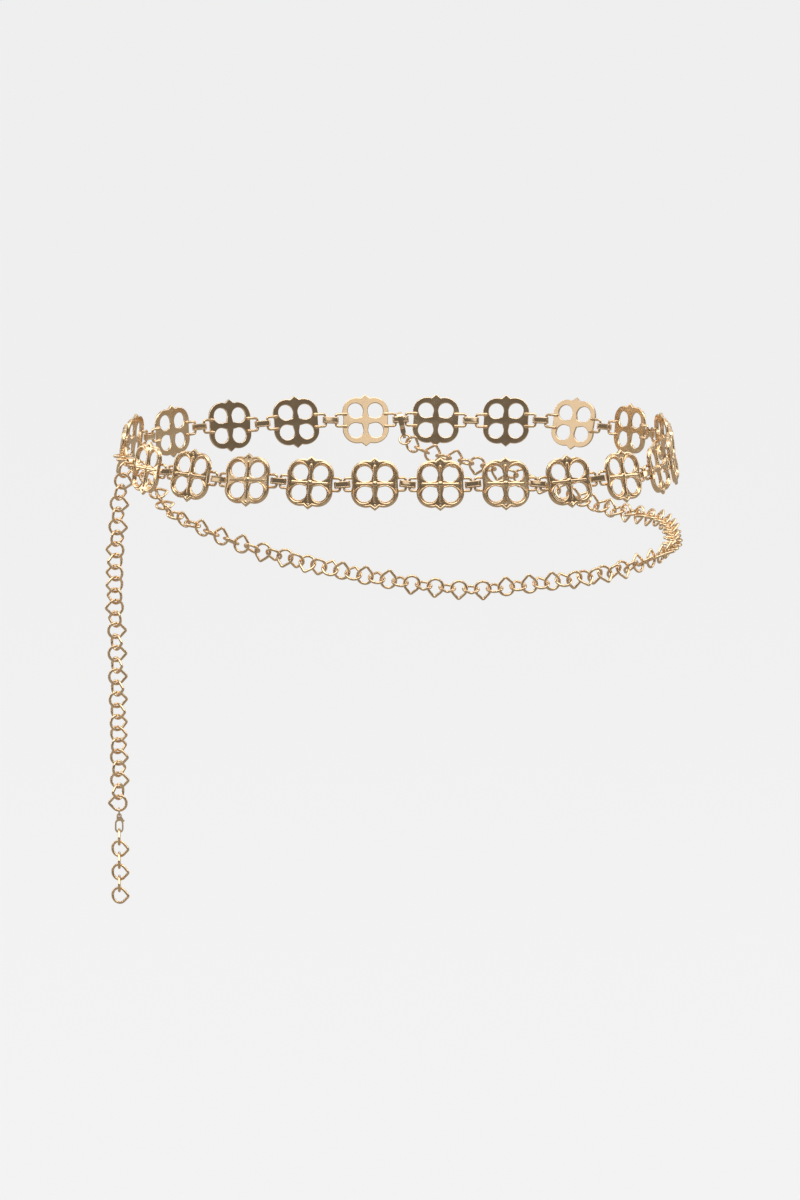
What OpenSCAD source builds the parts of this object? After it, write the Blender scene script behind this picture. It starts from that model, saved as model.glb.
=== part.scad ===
// A waist chain of pierced medallions, with a chain swag and a hanging chain tassel.
// +Z is up, the wearer faces -Y, and the origin is the middle of the worn loop. Millimetres.

/* [Belt] */
// Number of medallions round the belt
medallion_count = 23; // [17:1:29]
// Medallions in the front run, where the connectors hang slack
front_count = 11; // [7:1:13]
// Distance between the middles of neighbouring staple bars where the belt is drawn tight
bar_gap_tight = 5.9; // [5:0.1:9]
// Distance between the middles of neighbouring staple bars in the slack front run
bar_gap_slack = 2.1; // [1.9:0.1:4]
// Depth of the worn loop as a share of its width before the clasp draws it out
depth_share = 0.9; // [0.75:0.01:1]
// How square the worn loop is, where 2 is a plain ellipse
squareness = 2.64; // [2:0.02:3]
// How far the clasp draws the left end out, as a share of half the width
draw_out = 0.238; // [0:0.002:0.26]
// Place of the first medallion, as a share of the way round from the left end
start_share = 0.073; // [0.065:0.001:0.09]
// Inward lean of the medallions at the front, in degrees
lean_front = 17; // [0:1:25]
// Inward lean of the medallions at the two sides, in degrees
lean_side = 9; // [0:1:15]
// Inward lean of the medallions at the back, in degrees
lean_back = -19; // [-25:1:10]
// Largest turn of a medallion in its own plane, in degrees
roll_wander = 2; // [0:0.5:3]

/* [Medallion] */
// Width across the lobes
medallion_w = 26; // [24:0.5:32]
// Radius of each lobe
lobe_r = 8.2; // [7.8:0.1:9]
// Radius of each pierced petal
petal_r = 4.3; // [3.6:0.1:4.5]
// Width of the ribs between neighbouring petals
rib_w = 2.6; // [2:0.1:3.2]
// Distance of each petal's inner point from the middle
petal_point = 2.9; // [2.6:0.1:4]
// Thickness of the plate
plate_t = 1.4; // [1.1:0.1:2]
// Flat ledge between a petal and its crescent
ledge_w = 0.3; // [0.2:0.05:0.5]
// Width of each raised crescent where it is fattest
crescent_w = 1.6; // [1.3:0.1:1.8]
// Width of each raised crescent beside its petal
crescent_side_w = 0.6; // [0.5:0.05:0.7]
// Height of the raised crescents over the plate
crescent_h = 0.95; // [0.85:0.05:1.2]
// Width of the raised rib between two petals
vein_w = 1.1; // [0.8:0.1:1.4]
// Diameter of the domed boss in the middle
boss_d = 3.4; // [2.6:0.1:4]
// Height of the domed boss over the plate
boss_h = 0.9; // [0.6:0.05:1.2]
// Length of the points at the top and the bottom, out from the notch
point_l = 3.3; // [2:0.1:4]
// Width of the points at their root
point_w = 6.4; // [5:0.1:7]

/* [Staple and connector] */
// Wire of the staples soldered on the medallions
staple_wire = 1.5; // [1.2:0.1:1.7]
// Distance between the two prongs of a staple
staple_span = 7; // [6.6:0.1:8]
// Reach of the staple bar beyond the width across the lobes
staple_out = 3.8; // [3.7:0.1:6]
// Length of prong that is soldered to the plate
prong_l = 2.6; // [1.6:0.1:3]
// Depth to which a prong is sunk in the solder
solder_sink = 0.2; // [0.1:0.05:0.4]
// Bend radius at the corners of a staple
staple_bend = 1.3; // [1.1:0.1:1.6]
// Thickness of the folded strip
strip_t = 0.55; // [0.4:0.05:0.7]
// Height of the folded strip
strip_h = 3.4; // [2.8:0.1:3.6]
// Free play between a staple bar and the strip folded round it
strip_play = 0.3; // [0.25:0.05:0.5]

/* [Chain] */
// Wire of the pear-shaped links
link_wire = 1.5; // [1.2:0.05:1.5]
// Radius of the round side of a link, at the middle of its wire
link_r = 4.15; // [3.9:0.05:4.6]
// Distance of a link's corner from the middle of its round side
link_corner = 5.8; // [5:0.05:6]
// Bend radius at a link's corner
corner_bend = 0.9; // [0.8:0.05:1]
// Free play where two links meet
link_play = 0.25; // [0.2:0.05:0.5]
// Turn between neighbouring links about the chain, in degrees
link_turn = 64; // [60:1:90]
// Slow extra twist along the swag, in degrees
swag_twist = 58; // [50:1:60]
// Slow extra twist along the tassel, in degrees
tassel_twist = 24; // [0:1:26]
// Links between the belt and the waist clasp
clasp_links = 3; // [1:2:5]
// Links below the small clasp of the tassel
end_links = 6; // [3:1:10]

/* [Rings] */
// Wire of the ring that closes the belt
belt_ring_wire = 1.3; // [1:0.1:1.4]
// Radius of the ring that closes the belt, at the middle of its wire
belt_ring_r = 4.3; // [4.2:0.1:5]
// Wire of the ring that carries the swag
swag_ring_wire = 1.3; // [1:0.1:1.4]
// Radius of the ring that carries the swag, at the middle of its wire
swag_ring_r = 4.2; // [3.8:0.1:5]
// Wire of the jump ring on the swag clasp
jump_wire = 1.1; // [0.8:0.1:1.2]
// Radius of the jump ring on the swag clasp, at the middle of its wire
jump_r = 3.1; // [3:0.1:4]

/* [Clasps] */
// Thickness of a clasp's cast body
clasp_t = 2.8; // [2.6:0.1:3]
// Width of the space inside the hook
hook_w = 4.2; // [4:0.1:5]
// Length of the straight stretch of the space inside the hook
hook_run = 4; // [3.8:0.1:5]
// Length of the gap that the lever shuts, back from the end of that stretch
hook_tip_l = 3.1; // [2.8:0.1:3.4]
// Width of the hook's rail
hook_rail = 1.2; // [1:0.1:1.4]
// Thickness of the lever
lever_t = 1.1; // [0.9:0.1:1.2]
// Free play on each side of the lever
lever_play = 0.15; // [0.12:0.01:0.2]
// Diameter of the lever's pin
pin_d = 0.9; // [0.7:0.05:1]
// Radius of the lever's nib
nib_r = 0.8; // [0.6:0.05:0.9]
// Diameter of the hole in the clasp's tail
eye_d = 2; // [1.9:0.05:2.2]
// Width of metal round the hole in the tail
eye_rim = 0.95; // [0.8:0.05:1.1]
// Thickness of the clasp's tail
tail_t = 1.8; // [1.6:0.1:2]
// Length of the neck between the lever's hub and the hole in the tail
neck_l = 0.4; // [0.3:0.05:0.8]
// Size of the tassel's clasp, as a share of the other two
small_share = 0.72; // [0.7:0.01:0.8]

/* [Hidden] */
$fn = 48;
FIRST = 1;
UP = [0, 0, 1];
RIGHT = [1, 0, 0];
// Directions of the petals and of the ribs
PETALS = [45:90:315];
RIBS = [0:90:270];

// The chosen points of the chains. The swag's are [share of the way round the belt, height].
SWAG_ROUTE = [
    [0.098, -22], [0.118, -27.5], [0.146, -35], [0.184, -42.5], [0.213, -48.4], [0.25, -54],
    [0.293, -57.7], [0.324, -56], [0.36, -53.3], [0.396, -50.3], [0.43, -48.4], [0.465, -47.2],
    [0.5, -45.2], [0.54, -43.8], [0.58, -44.6], [0.61, -44.8], [0.628, -42], [0.65, -37],
    [0.67, -31.8], [0.69, -27], [0.71, -23]
];
// The tassel's points are [right, height] from the ring that it hangs from.
TASSEL_ROUTE = [[-1.6, -9], [-3.8, -19], [-4.6, -32], [-5.6, -60], [-5.4, -100], [-4.6, -150], [-4, -196]];
// Distance at which the swag lies outside the belt at the front, and inside it at the back
swag_outset = 2;
swag_inset = 8;
// Lean of the swag clasp to one side, in degrees
swag_clasp_lean = 12;
// Bearings on the belt ring at which the swag and the tassel hang
swag_bearing = -42;
tassel_bearing = 210;
// Number of medallions beyond the strip that the swag's clasp holds
HOOKED_FROM_END = 6;
// Slope at which the swag leaves the belt ring
swag_slope = 42;
// How far the jump ring stands out from the swag clasp's line, and its turn to where the swag meets it
JUMP_OUT = 0.41;
JUMP_TURN = 37;

// Sizes that follow from the ones above
lobe_c = medallion_w / 2 - lobe_r;
notch = lobe_c + sqrt(lobe_r * lobe_r - lobe_c * lobe_c);
petal_c = petal_r + rib_w / 2;
bar_reach = medallion_w / 2 + staple_out;
bar_z = solder_sink - staple_wire / 2;
strip_in_l = bar_gap_tight + staple_wire + 2 * strip_play;
strip_in_d = staple_wire + 2 * strip_play;
link_pitch = 2 * link_r - link_wire - link_play;
corner_half = asin(link_r / link_corner);
hook_in_r = hook_w / 2;
hook_out_r = hook_in_r + hook_rail;
// Metal round the lever's pin, and of the clasp's ears beyond the lever's hub
HUB_WALL = 0.6;
EAR_WALL = 0.35;
// Places along a clasp, from the start of the hook's straight stretch
hub_r = pin_d / 2 + HUB_WALL;
pivot_x = -hook_in_r - hub_r;
pivot_y = hook_in_r - hub_r / 2;
ear_r = hub_r + EAR_WALL;
eye_x = pivot_x - ear_r - neck_l - eye_d / 2;
gate_end = hook_run - hook_tip_l;
// Middle of the ring wire that lies in the hook's end, back by as much as the ring curves within it
ring_in_r = belt_ring_r - belt_ring_wire / 2;
ring_sag = ring_in_r - sqrt(ring_in_r * ring_in_r - clasp_t * clasp_t / 4);
seat_x = hook_run + hook_in_r - belt_ring_wire / 2 - link_play - ring_sag;
clasp_span = seat_x - eye_x;

function unit(v) = v / norm(v);
function turn_x(v, a) = [v.x, v.y * cos(a) - v.z * sin(a), v.y * sin(a) + v.z * cos(a)];
function turn_z(v, a) = [v.x * cos(a) - v.y * sin(a), v.x * sin(a) + v.y * cos(a), v.z];
function bearing_of(v) = atan2(v.y, v.x);
function level(bearing) = [cos(bearing), sin(bearing), 0];

// Running length of a list of points, one value for each
function running(points) = [
    for (i = 0, s = 0; i < len(points);
        i = i + 1, s = s + (i < len(points) ? norm(points[i] - points[i - 1]) : 0)) s
];
// A curve to look places up on: [running length, point] turned into three tables
function curve(points) = let (s = running(points))
    [for (axis = [0:2]) [for (i = [0:len(points) - 1]) [s[i], points[i][axis]]]];
function length_of(route) = route[0][len(route[0]) - 1][0];
function place(route, s) = [for (axis = [0:2]) lookup(s, route[axis])];
// Way of a smooth curve at b, between its neighbours a and c
function way_at(a, b, c) = let (u = norm(b - a), v = norm(c - b))
    ((b - a) * v / u + (c - b) * u / v) / (u + v);
// A smooth curve through chosen points, in steps of equal share of each span
function smooth(points, steps) = let (last = len(points) - 1) [
    for (i = [0:last - 1], j = [0:(i == last - 1 ? steps : steps - 1)])
        let (
            t = j / steps,
            b = points[i],
            c = points[i + 1],
            span = norm(c - b),
            out = span * (i == 0 ? unit(c - b) : way_at(points[i - 1], b, c)),
            in = span * (i + 2 > last ? unit(c - b) : way_at(b, c, points[i + 2]))
        )
        b + t * out + t * t * (3 * (c - b) - 2 * out - in) + t * t * t * (2 * (b - c) + out + in)
];

// The worn loop, from its left end round the front. Its size follows from what it is made of.
LOOP_STEPS = 360;
SPAN_STEPS = 10;
function loop_corner(v) = sign(v) * pow(abs(v), 2 / squareness);
function drawn(x) = x * (1 + draw_out * pow((1 - x) / 2, 3)) + draw_out / 2;
unit_loop = [
    for (i = [0:LOOP_STEPS]) let (t = 180 + 360 * i / LOOP_STEPS)
        [drawn(loop_corner(cos(t))), depth_share * loop_corner(sin(t)), 0]
];
unit_length = length_of(curve(unit_loop));

// How tightly the belt is drawn after medallion i, from 0 in the slack front to 1 at the back
TIGHTEN_AFTER = front_count - 2;
TIGHTEN_OVER = 4;
function tightness(i) = min(1, max(0, (i - TIGHTEN_AFTER) / TIGHTEN_OVER));
function pitch_after(i) = 2 * bar_reach + bar_gap_slack + tightness(i) * (bar_gap_tight - bar_gap_slack);
function sum_pitches(i) = i < FIRST ? 0 : pitch_after(i) + sum_pitches(i - 1);

// Distances from the last staple bar to the parts that close the belt, one after another
first_link_at = link_r - link_wire / 2 - staple_wire / 2 - link_play;
eye_at = first_link_at + (clasp_links - 1) * link_pitch + link_r;
belt_ring_at = eye_at + clasp_span + belt_ring_r;
closing = belt_ring_at + belt_ring_r - belt_ring_wire / 2 - staple_wire / 2 - link_play;
loop_length = sum_pitches(medallion_count - 1) + closing + 2 * bar_reach;
loop_size = loop_length / unit_length;
loop = curve(loop_size * unit_loop);
half_depth = loop_size * depth_share;

function around(s) = s - loop_length * floor(s / loop_length);
function loop_place(s) = place(loop, around(s));
HEADING_STEP = 3;
function heading(s) = bearing_of(loop_place(s + HEADING_STEP) - loop_place(s - HEADING_STEP));
function lean_at(s) = let (y = loop_place(s).y / half_depth)
    lean_side + y * y * ((y < 0 ? lean_front : lean_back) - lean_side);

function medallion_at(i) = start_share * loop_length + sum_pitches(i - 1);
ROLL_STEP = 150;
function medallion_roll(i) = roll_wander * sin(ROLL_STEP * i);
function medallion_point(i, v) = let (s = medallion_at(i))
    loop_place(s) + turn_z(turn_x(turn_z(v, medallion_roll(i)), 90 - lean_at(s)), heading(s));
function bar_point(i, side) = medallion_point(i, [side * bar_reach, 0, bar_z]);

// The line on which the belt closes, from the last medallion's bar to the first one's
close_from = bar_point(medallion_count, 1);
close_to = bar_point(FIRST, -1);
close_way = unit(close_to - close_from);
function close_place(d) = close_from + close_way * d * norm(close_to - close_from) / closing;
belt_ring_c = close_place(belt_ring_at);

// The swag hangs from the belt ring and ends in a clasp on a connector at the back
swag_from = belt_ring_c + belt_ring_r * level(swag_bearing);
swag_start = cos(swag_slope) * level(swag_bearing) - [0, 0, sin(swag_slope)];
// The medallion after which the swag's clasp holds the strip
HOOKED_AFTER = medallion_count - HOOKED_FROM_END;
function strip_middle(i) = (bar_point(i, 1) + bar_point(i + 1, -1)) / 2;
function strip_way(i) = unit(bar_point(i + 1, -1) - bar_point(i, 1));
function strip_lean(i) = (lean_at(medallion_at(i)) + lean_at(medallion_at(i + 1))) / 2;
strip_out_d = strip_in_d + 2 * strip_t;
// Where the middle of a folded strip lies along a clasp whose hook holds it, leaning to one side
strip_seat_x = hook_run + sqrt(hook_in_r * hook_in_r - strip_out_d * strip_out_d / 4)
    - strip_h / 2 / cos(swag_clasp_lean) - clasp_t / 2 * tan(swag_clasp_lean) - link_play;
function hooked_way(v) = let (stood = turn_x(v, 90 - strip_lean(HOOKED_AFTER)))
    turn_z(stood, bearing_of(strip_way(HOOKED_AFTER)));
swag_clasp_up = hooked_way([sin(swag_clasp_lean), cos(swag_clasp_lean), 0]);
swag_clasp_c = strip_middle(HOOKED_AFTER) - swag_clasp_up * strip_seat_x;
swag_eye = swag_clasp_c + swag_clasp_up * eye_x;
function swag_point(p) = let (s = p[0] * loop_length)
    loop_place(s) + swag_side(p[0]) * level(heading(s) - 90) + [0, 0, p[1]];
// The swag goes over from the outer side to the inner side as it passes the right end
SWAG_CROSSING = [0.46, 0.62];
function swag_side(share) = let (
    t = min(1, max(0, (share - SWAG_CROSSING[0]) / (SWAG_CROSSING[1] - SWAG_CROSSING[0])))
) swag_outset - (swag_outset + swag_inset) * t * t * (3 - 2 * t);
swag_eye_axis = hooked_way([cos(swag_clasp_lean), -sin(swag_clasp_lean), 0]);
jump_way = unit(swag_clasp_up + JUMP_OUT * hooked_way(UP));
jump_c = swag_eye - jump_r * jump_way;
swag_lead = cos(JUMP_TURN) * jump_way + sin(JUMP_TURN) * swag_eye_axis;
// Distance over which the swag keeps to its way at each end
SWAG_JOINS = [15, 8];
swag_route = curve(smooth(concat(
    [swag_from, swag_from + SWAG_JOINS[0] * swag_start],
    [for (p = SWAG_ROUTE) swag_point(p)],
    [jump_c - SWAG_JOINS[1] * swag_lead, jump_c]
), SPAN_STEPS));

swag_ring_at = swag_ring_r - (swag_ring_wire + belt_ring_wire) / 2 - link_play;
swag_first = swag_ring_at + swag_ring_r + link_r - (swag_ring_wire + link_wire) / 2 - link_play;
swag_last = length_of(swag_route) - jump_r - link_r + (jump_wire + link_wire) / 2 + link_play;
swag_steps = ceil((swag_last - swag_first) / link_pitch);
swag_pitch = (swag_last - swag_first) / swag_steps;
swag_half = floor(swag_steps / 2);

// The tassel hangs from the belt ring too
tassel_from = belt_ring_c + belt_ring_r * level(tassel_bearing);
tassel_route = curve(smooth(concat(
    [tassel_from],
    [for (p = TASSEL_ROUTE) tassel_from + [p[0], 0, p[1]]]
), SPAN_STEPS));
small_ring_wire = small_share * jump_wire;
small_ring_r = small_share * jump_r;
tassel_first = link_r - (link_wire + belt_ring_wire) / 2 - link_play;
small_ring_at = length_of(tassel_route) - small_ring_r;
tassel_last = small_ring_at - small_ring_r - link_r + (small_ring_wire + link_wire) / 2 + link_play;
tassel_steps = ceil((tassel_last - tassel_first) / link_pitch);
tassel_pitch = (tassel_last - tassel_first) / tassel_steps;
// The small clasp hangs plumb from the ring, hook down
small_eye = place(tassel_route, length_of(tassel_route));
small_seat_x = hook_run + hook_in_r - (link_wire / 2 + link_play) / small_share;
small_clasp_c = small_eye + [0, 0, small_share * eye_x];
end_first = small_clasp_c.z - small_share * small_seat_x - link_r;

function numbered(name, n) = str(name, n < 10 ? "0" : "", n);
MEDALLIONS = [for (i = [FIRST:medallion_count]) numbered("medallion_", i)];
gold = "#d9b27c";

// A half space above a height, large enough for one medallion
module above(z) {
    translate([-medallion_w, -medallion_w, z]) cube([2 * medallion_w, 2 * medallion_w, medallion_w]);
}

module outline() {
    for (a = PETALS) rotate(a) translate([lobe_c * sqrt(2), 0]) circle(lobe_r);
    for (m = [0, 1]) mirror([0, m]) polygon([
        [-point_w / 2, notch], [0, notch + point_l], [point_w / 2, notch], [0, notch - point_w / 2]
    ]);
}

// An almond opening: a round with a point towards the middle
module petal() {
    far = petal_c * sqrt(2);
    half = asin(petal_r / (far - petal_point));
    touch = petal_r * [sin(half), cos(half)];
    translate([far, 0]) circle(petal_r);
    polygon([[petal_point, 0], [far - touch.x, touch.y], [far, 0], [far - touch.x, -touch.y]]);
}

// One raised crescent, round in section, wrapped round the outer end of a petal
module crescent() {
    far = petal_c * sqrt(2);
    inner = petal_r + ledge_w;
    shift = crescent_w - crescent_side_w;
    intersection() {
        translate([far + shift / 2, 0, plate_t]) rotate_extrude()
            translate([inner + crescent_side_w / 2, 0]) circle(crescent_h);
        translate([0, 0, plate_t / 2]) linear_extrude(plate_t / 2 + 2 * crescent_h) difference() {
            translate([far + shift, 0]) circle(inner + crescent_side_w);
            translate([far, 0]) circle(inner);
        }
    }
}

module boss() {
    dome_r = (boss_d * boss_d / 4 + boss_h * boss_h) / (2 * boss_h);
    intersection() {
        translate([0, 0, plate_t + boss_h - dome_r]) sphere(dome_r);
        above(plate_t / 2);
    }
}

// A bend of round wire, from the +X side through an angle
module bend(r, wire, angle) {
    rotate_extrude(angle = angle) translate([r, 0]) circle(d = wire);
}

// A staple: two prongs and a bar, beyond the +X side of the plate
module staple() {
    run = staple_out + medallion_w / 2 - staple_bend;
    root = lobe_c + sqrt(lobe_r * lobe_r - pow(staple_span / 2 - lobe_c, 2)) - prong_l;
    translate([0, 0, bar_z]) {
        for (m = [0, 1]) mirror([0, m]) {
            translate([root, staple_span / 2]) rotate([0, 90]) cylinder(d = staple_wire, h = run - root);
            translate([run, staple_span / 2 - staple_bend]) bend(staple_bend, staple_wire, 90);
        }
        translate([run + staple_bend, staple_bend - staple_span / 2]) rotate([-90, 0])
            cylinder(d = staple_wire, h = staple_span - 2 * staple_bend);
    }
}

module medallion_body() {
    color(gold) union() {
        linear_extrude(plate_t) difference() {
            outline();
            for (a = PETALS) rotate(a) petal();
        }
        for (a = PETALS) rotate(a) crescent();
        for (a = RIBS) rotate(a) intersection() {
            translate([0, 0, plate_t]) rotate([0, 90]) cylinder(d = vein_w, h = notch - ledge_w);
            above(plate_t / 2);
        }
        boss();
        for (m = [0, 1]) mirror([m, 0]) staple();
    }
}

module medallion(i) {
    s = medallion_at(i);
    translate(loop_place(s)) rotate([0, 0, heading(s)]) rotate([90 - lean_at(s), 0, 0])
        rotate([0, 0, medallion_roll(i)]) medallion_body();
}

module band(l, d, h, r) {
    for (x = [-1, 1], y = [-1, 1]) translate([x * (l / 2 - r), y * (d / 2 - r)]) cylinder(r = r, h = h);
    translate([-l / 2, r - d / 2]) cube([l, d - 2 * r, h]);
    translate([r - l / 2, -d / 2]) cube([l - 2 * r, d, h]);
}

// A strip folded round two staple bars, centred, its height along Y
module connector_body() {
    fold_r = strip_in_d / 3;
    color(gold) rotate([90, 0]) translate([0, 0, -strip_h / 2]) difference() {
        band(strip_in_l + 2 * strip_t, strip_out_d, strip_h, fold_r + strip_t);
        translate([0, 0, -strip_h / 2]) band(strip_in_l, strip_in_d, 2 * strip_h, fold_r);
    }
}

module connector(i) {
    way = strip_way(i);
    translate(strip_middle(i)) rotate([0, -asin(way.z), bearing_of(way)])
        rotate([90 - strip_lean(i), 0, 0]) connector_body();
}

module front_connectors() {
    for (i = [FIRST:front_count]) connector(i);
}

module back_connectors() {
    for (i = [front_count + 1:medallion_count - 1]) connector(i);
}

// How much slimmer a link's straight legs are than its bends, and how far they reach into them
LEG_SLIM = 0.04;
LEG_IN = 0.1;
// A pear-shaped link in the XY plane, drawn out along X, its corner towards +Y
module link_body() {
    bend_c = link_corner - corner_bend / sin(corner_half);
    straight = (link_corner * cos(corner_half)) - corner_bend / tan(corner_half);
    color(gold) union() {
        for (m = [0, 1]) mirror([m, 0]) {
            rotate(-90) bend(link_r, link_wire, 90 + corner_half);
            rotate(corner_half) translate([link_r, -LEG_IN]) rotate([-90, 0])
                cylinder(d = link_wire - LEG_SLIM, h = straight + 2 * LEG_IN);
        }
        translate([0, bend_c]) rotate(corner_half) bend(corner_bend, link_wire, 180 - 2 * corner_half);
    }
}

// Puts a piece at a place, its X along the way and its Y turned about it from a reference side
function frame(at, way, side, roll) = let (
    x = unit(way),
    s = unit(side - (side * x) * x),
    y = cos(roll) * s + sin(roll) * cross(x, s),
    z = cross(x, y)
) [[x.x, y.x, z.x, at.x], [x.y, y.y, z.y, at.y], [x.z, y.z, z.z, at.z], [0, 0, 0, 1]];

module lay(at, way, side, roll) {
    multmatrix(frame(at, way, side, roll)) children();
}

module ring_body(r, wire) {
    color(gold) rotate_extrude() translate([r, 0]) circle(d = wire);
}

// Puts a piece on a route, its middle at a running length and its half length known
function route_frame(route, s, half, side, roll) = let (
    h = min(half, s),
    a = place(route, s - h),
    b = place(route, s + h)
) frame((a + b) / 2, b - a, side, roll);

module on_route(route, s, half, side, roll) {
    multmatrix(route_frame(route, s, half, side, roll)) children();
}

// Links in a stretch whose corners lie on one side, waves of twist along the swag and its mean turn,
// and the step of the tassel's twist from link to link
STRETCH = 7;
SWAG_WAVES = 1.5;
SWAG_TURN = 14;
TASSEL_STEP = 14;
// Links turn to and fro about the chain, and their corners change side from stretch to stretch
function to_and_fro(k) = link_turn / 2 * (k % 2 == 0 ? 1 : -1);
function swag_roll(k) = SWAG_TURN + swag_twist * cos(360 * SWAG_WAVES * k / swag_steps) + to_and_fro(k)
    + (floor(k / STRETCH) % 2 == 0 ? 180 : 0);
// The tassel's twist takes back some of the last link's turn, so that it meets its ring square on
function tassel_roll(k) = -to_and_fro(k) + (floor(k / STRETCH) % 3 == 1 ? 180 : 0)
    + tassel_twist * cos(TASSEL_STEP * (tassel_steps - k)) * sign(to_and_fro(tassel_steps));
function end_roll(k) = 90 - (k % 2) * link_turn;

module swag_links(from, to) {
    for (k = [from:to]) on_route(swag_route, swag_first + k * swag_pitch, link_pitch / 2, UP, swag_roll(k))
        link_body();
}

module swag_front() {
    swag_links(0, swag_half);
}

module swag_back() {
    swag_links(swag_half + 1, swag_steps);
}

module swag_ring() {
    on_route(swag_route, swag_ring_at, swag_ring_r / 2, UP, 0) ring_body(swag_ring_r, swag_ring_wire);
}

module swag_jump_ring() {
    lay(jump_c, jump_way, swag_eye_axis, 0) ring_body(jump_r, jump_wire);
}

module tassel_chain() {
    for (k = [0:tassel_steps])
        on_route(tassel_route, tassel_first + k * tassel_pitch, link_pitch / 2, RIGHT, tassel_roll(k))
            link_body();
}

module tassel_ring() {
    on_route(tassel_route, small_ring_at, small_ring_r / 2, RIGHT, 90)
        ring_body(small_ring_r, small_ring_wire);
}

module tassel_end() {
    for (k = [0:end_links - 1])
        lay([small_eye.x, small_eye.y, end_first - k * link_pitch], -UP, RIGHT, end_roll(k)) link_body();
}

module clasp_chain() {
    for (k = [0:clasp_links - 1])
        lay(close_place(first_link_at + k * link_pitch), close_way, UP, k % 2 == 0 ? 90 : 0) link_body();
}

module belt_ring() {
    translate(belt_ring_c) ring_body(belt_ring_r, belt_ring_wire);
}

module stadium(r) {
    circle(r);
    translate([hook_run, 0]) circle(r);
    translate([0, -r]) square([hook_run, 2 * r]);
}

// The cast body of a lobster clasp: hook to +X, tail to -X, the gap on its +Y side
module clasp_body() {
    tail_w = eye_d + 2 * eye_rim;
    slot_h = lever_t + 2 * lever_play;
    slot_from = [pivot_x - ear_r, pivot_y - hub_r - lever_play];
    tail_from = [eye_x - tail_w, -tail_w, tail_t / 2];
    gap_from = [pivot_x + hub_r, hook_in_r / 3];
    color(gold) union() {
        difference() {
            translate([0, 0, -clasp_t / 2]) linear_extrude(clasp_t) difference() {
                union() {
                    stadium(hook_out_r);
                    translate([eye_x, -tail_w / 2]) square([-eye_x, tail_w]);
                    translate([eye_x, 0]) circle(d = tail_w);
                    translate([pivot_x, pivot_y]) circle(ear_r);
                }
                stadium(hook_in_r);
                translate([eye_x, 0]) circle(d = eye_d);
                translate(gap_from) square([gate_end - gap_from.x, hook_out_r]);
            }
            translate([slot_from.x, slot_from.y, -slot_h / 2])
                cube([hub_r + 2 * ear_r, hook_out_r + ear_r, slot_h]);
            for (m = [0, 1]) mirror([0, 0, m]) translate(tail_from)
                cube([tail_w + eye_d / 2 + neck_l / 2, 2 * tail_w, clasp_t]);
        }
        translate([pivot_x, pivot_y, -clasp_t / 2]) cylinder(d = pin_d, h = clasp_t);
    }
}

// The lever that shuts the hook's gap, turning on its pin, with a nib for the thumb
module lever_body() {
    gate_tip = gate_end - lever_play;
    tip_rise = hook_out_r - pivot_y;
    gate_top = pivot_x + sqrt(pow(gate_tip - pivot_x, 2) + pow(hook_in_r - pivot_y, 2) - tip_rise * tip_rise);
    color(gold) difference() {
        translate([0, 0, -lever_t / 2]) union() {
            translate([pivot_x, pivot_y]) cylinder(r = hub_r, h = lever_t);
            linear_extrude(lever_t) polygon([
                [pivot_x, pivot_y + hub_r], [0, hook_out_r], [gate_top, hook_out_r],
                [gate_tip, hook_in_r], [0, hook_in_r], [pivot_x + hub_r / 2, pivot_y - hub_r / 2]
            ]);
            translate([pivot_x + hub_r, hook_out_r]) cylinder(r = nib_r, h = lever_t);
        }
        translate([pivot_x, pivot_y, -lever_t]) cylinder(d = pin_d + 2 * lever_play, h = 2 * lever_t);
    }
}

module at_waist_clasp() {
    lay(close_place(eye_at - eye_x), close_way, UP, 180) children();
}

module waist_clasp() {
    at_waist_clasp() clasp_body();
}

module waist_clasp_lever() {
    at_waist_clasp() lever_body();
}

module at_swag_clasp() {
    lay(swag_clasp_c, swag_clasp_up, hooked_way(UP), 0) children();
}

module swag_clasp() {
    at_swag_clasp() clasp_body();
}

module swag_clasp_lever() {
    at_swag_clasp() lever_body();
}

module at_small_clasp() {
    lay(small_clasp_c, -UP, RIGHT, 0) scale(small_share) children();
}

module tassel_clasp() {
    at_small_clasp() clasp_body();
}

module tassel_clasp_lever() {
    at_small_clasp() lever_body();
}

for (i = [FIRST:medallion_count]) medallion(i);
front_connectors();
back_connectors();
clasp_chain();
waist_clasp();
waist_clasp_lever();
belt_ring();
swag_ring();
swag_front();
swag_back();
swag_jump_ring();
swag_clasp();
swag_clasp_lever();
tassel_chain();
tassel_ring();
tassel_clasp();
tassel_clasp_lever();
tassel_end();
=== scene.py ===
"""Dresses a waist chain: a belt of pierced medallions, a chain swag and a hanging chain tassel.

Sizes in the classes are millimetres, as a jeweller gives them; MM turns them into scene metres.
+Z is up, the wearer faces -Y, and the origin is the middle of the worn loop.
"""

import logging
import math
from dataclasses import dataclass, field
from enum import Enum

import bpy
from mathutils import Matrix, Vector
from mathutils.geometry import tessellate_polygon


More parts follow.
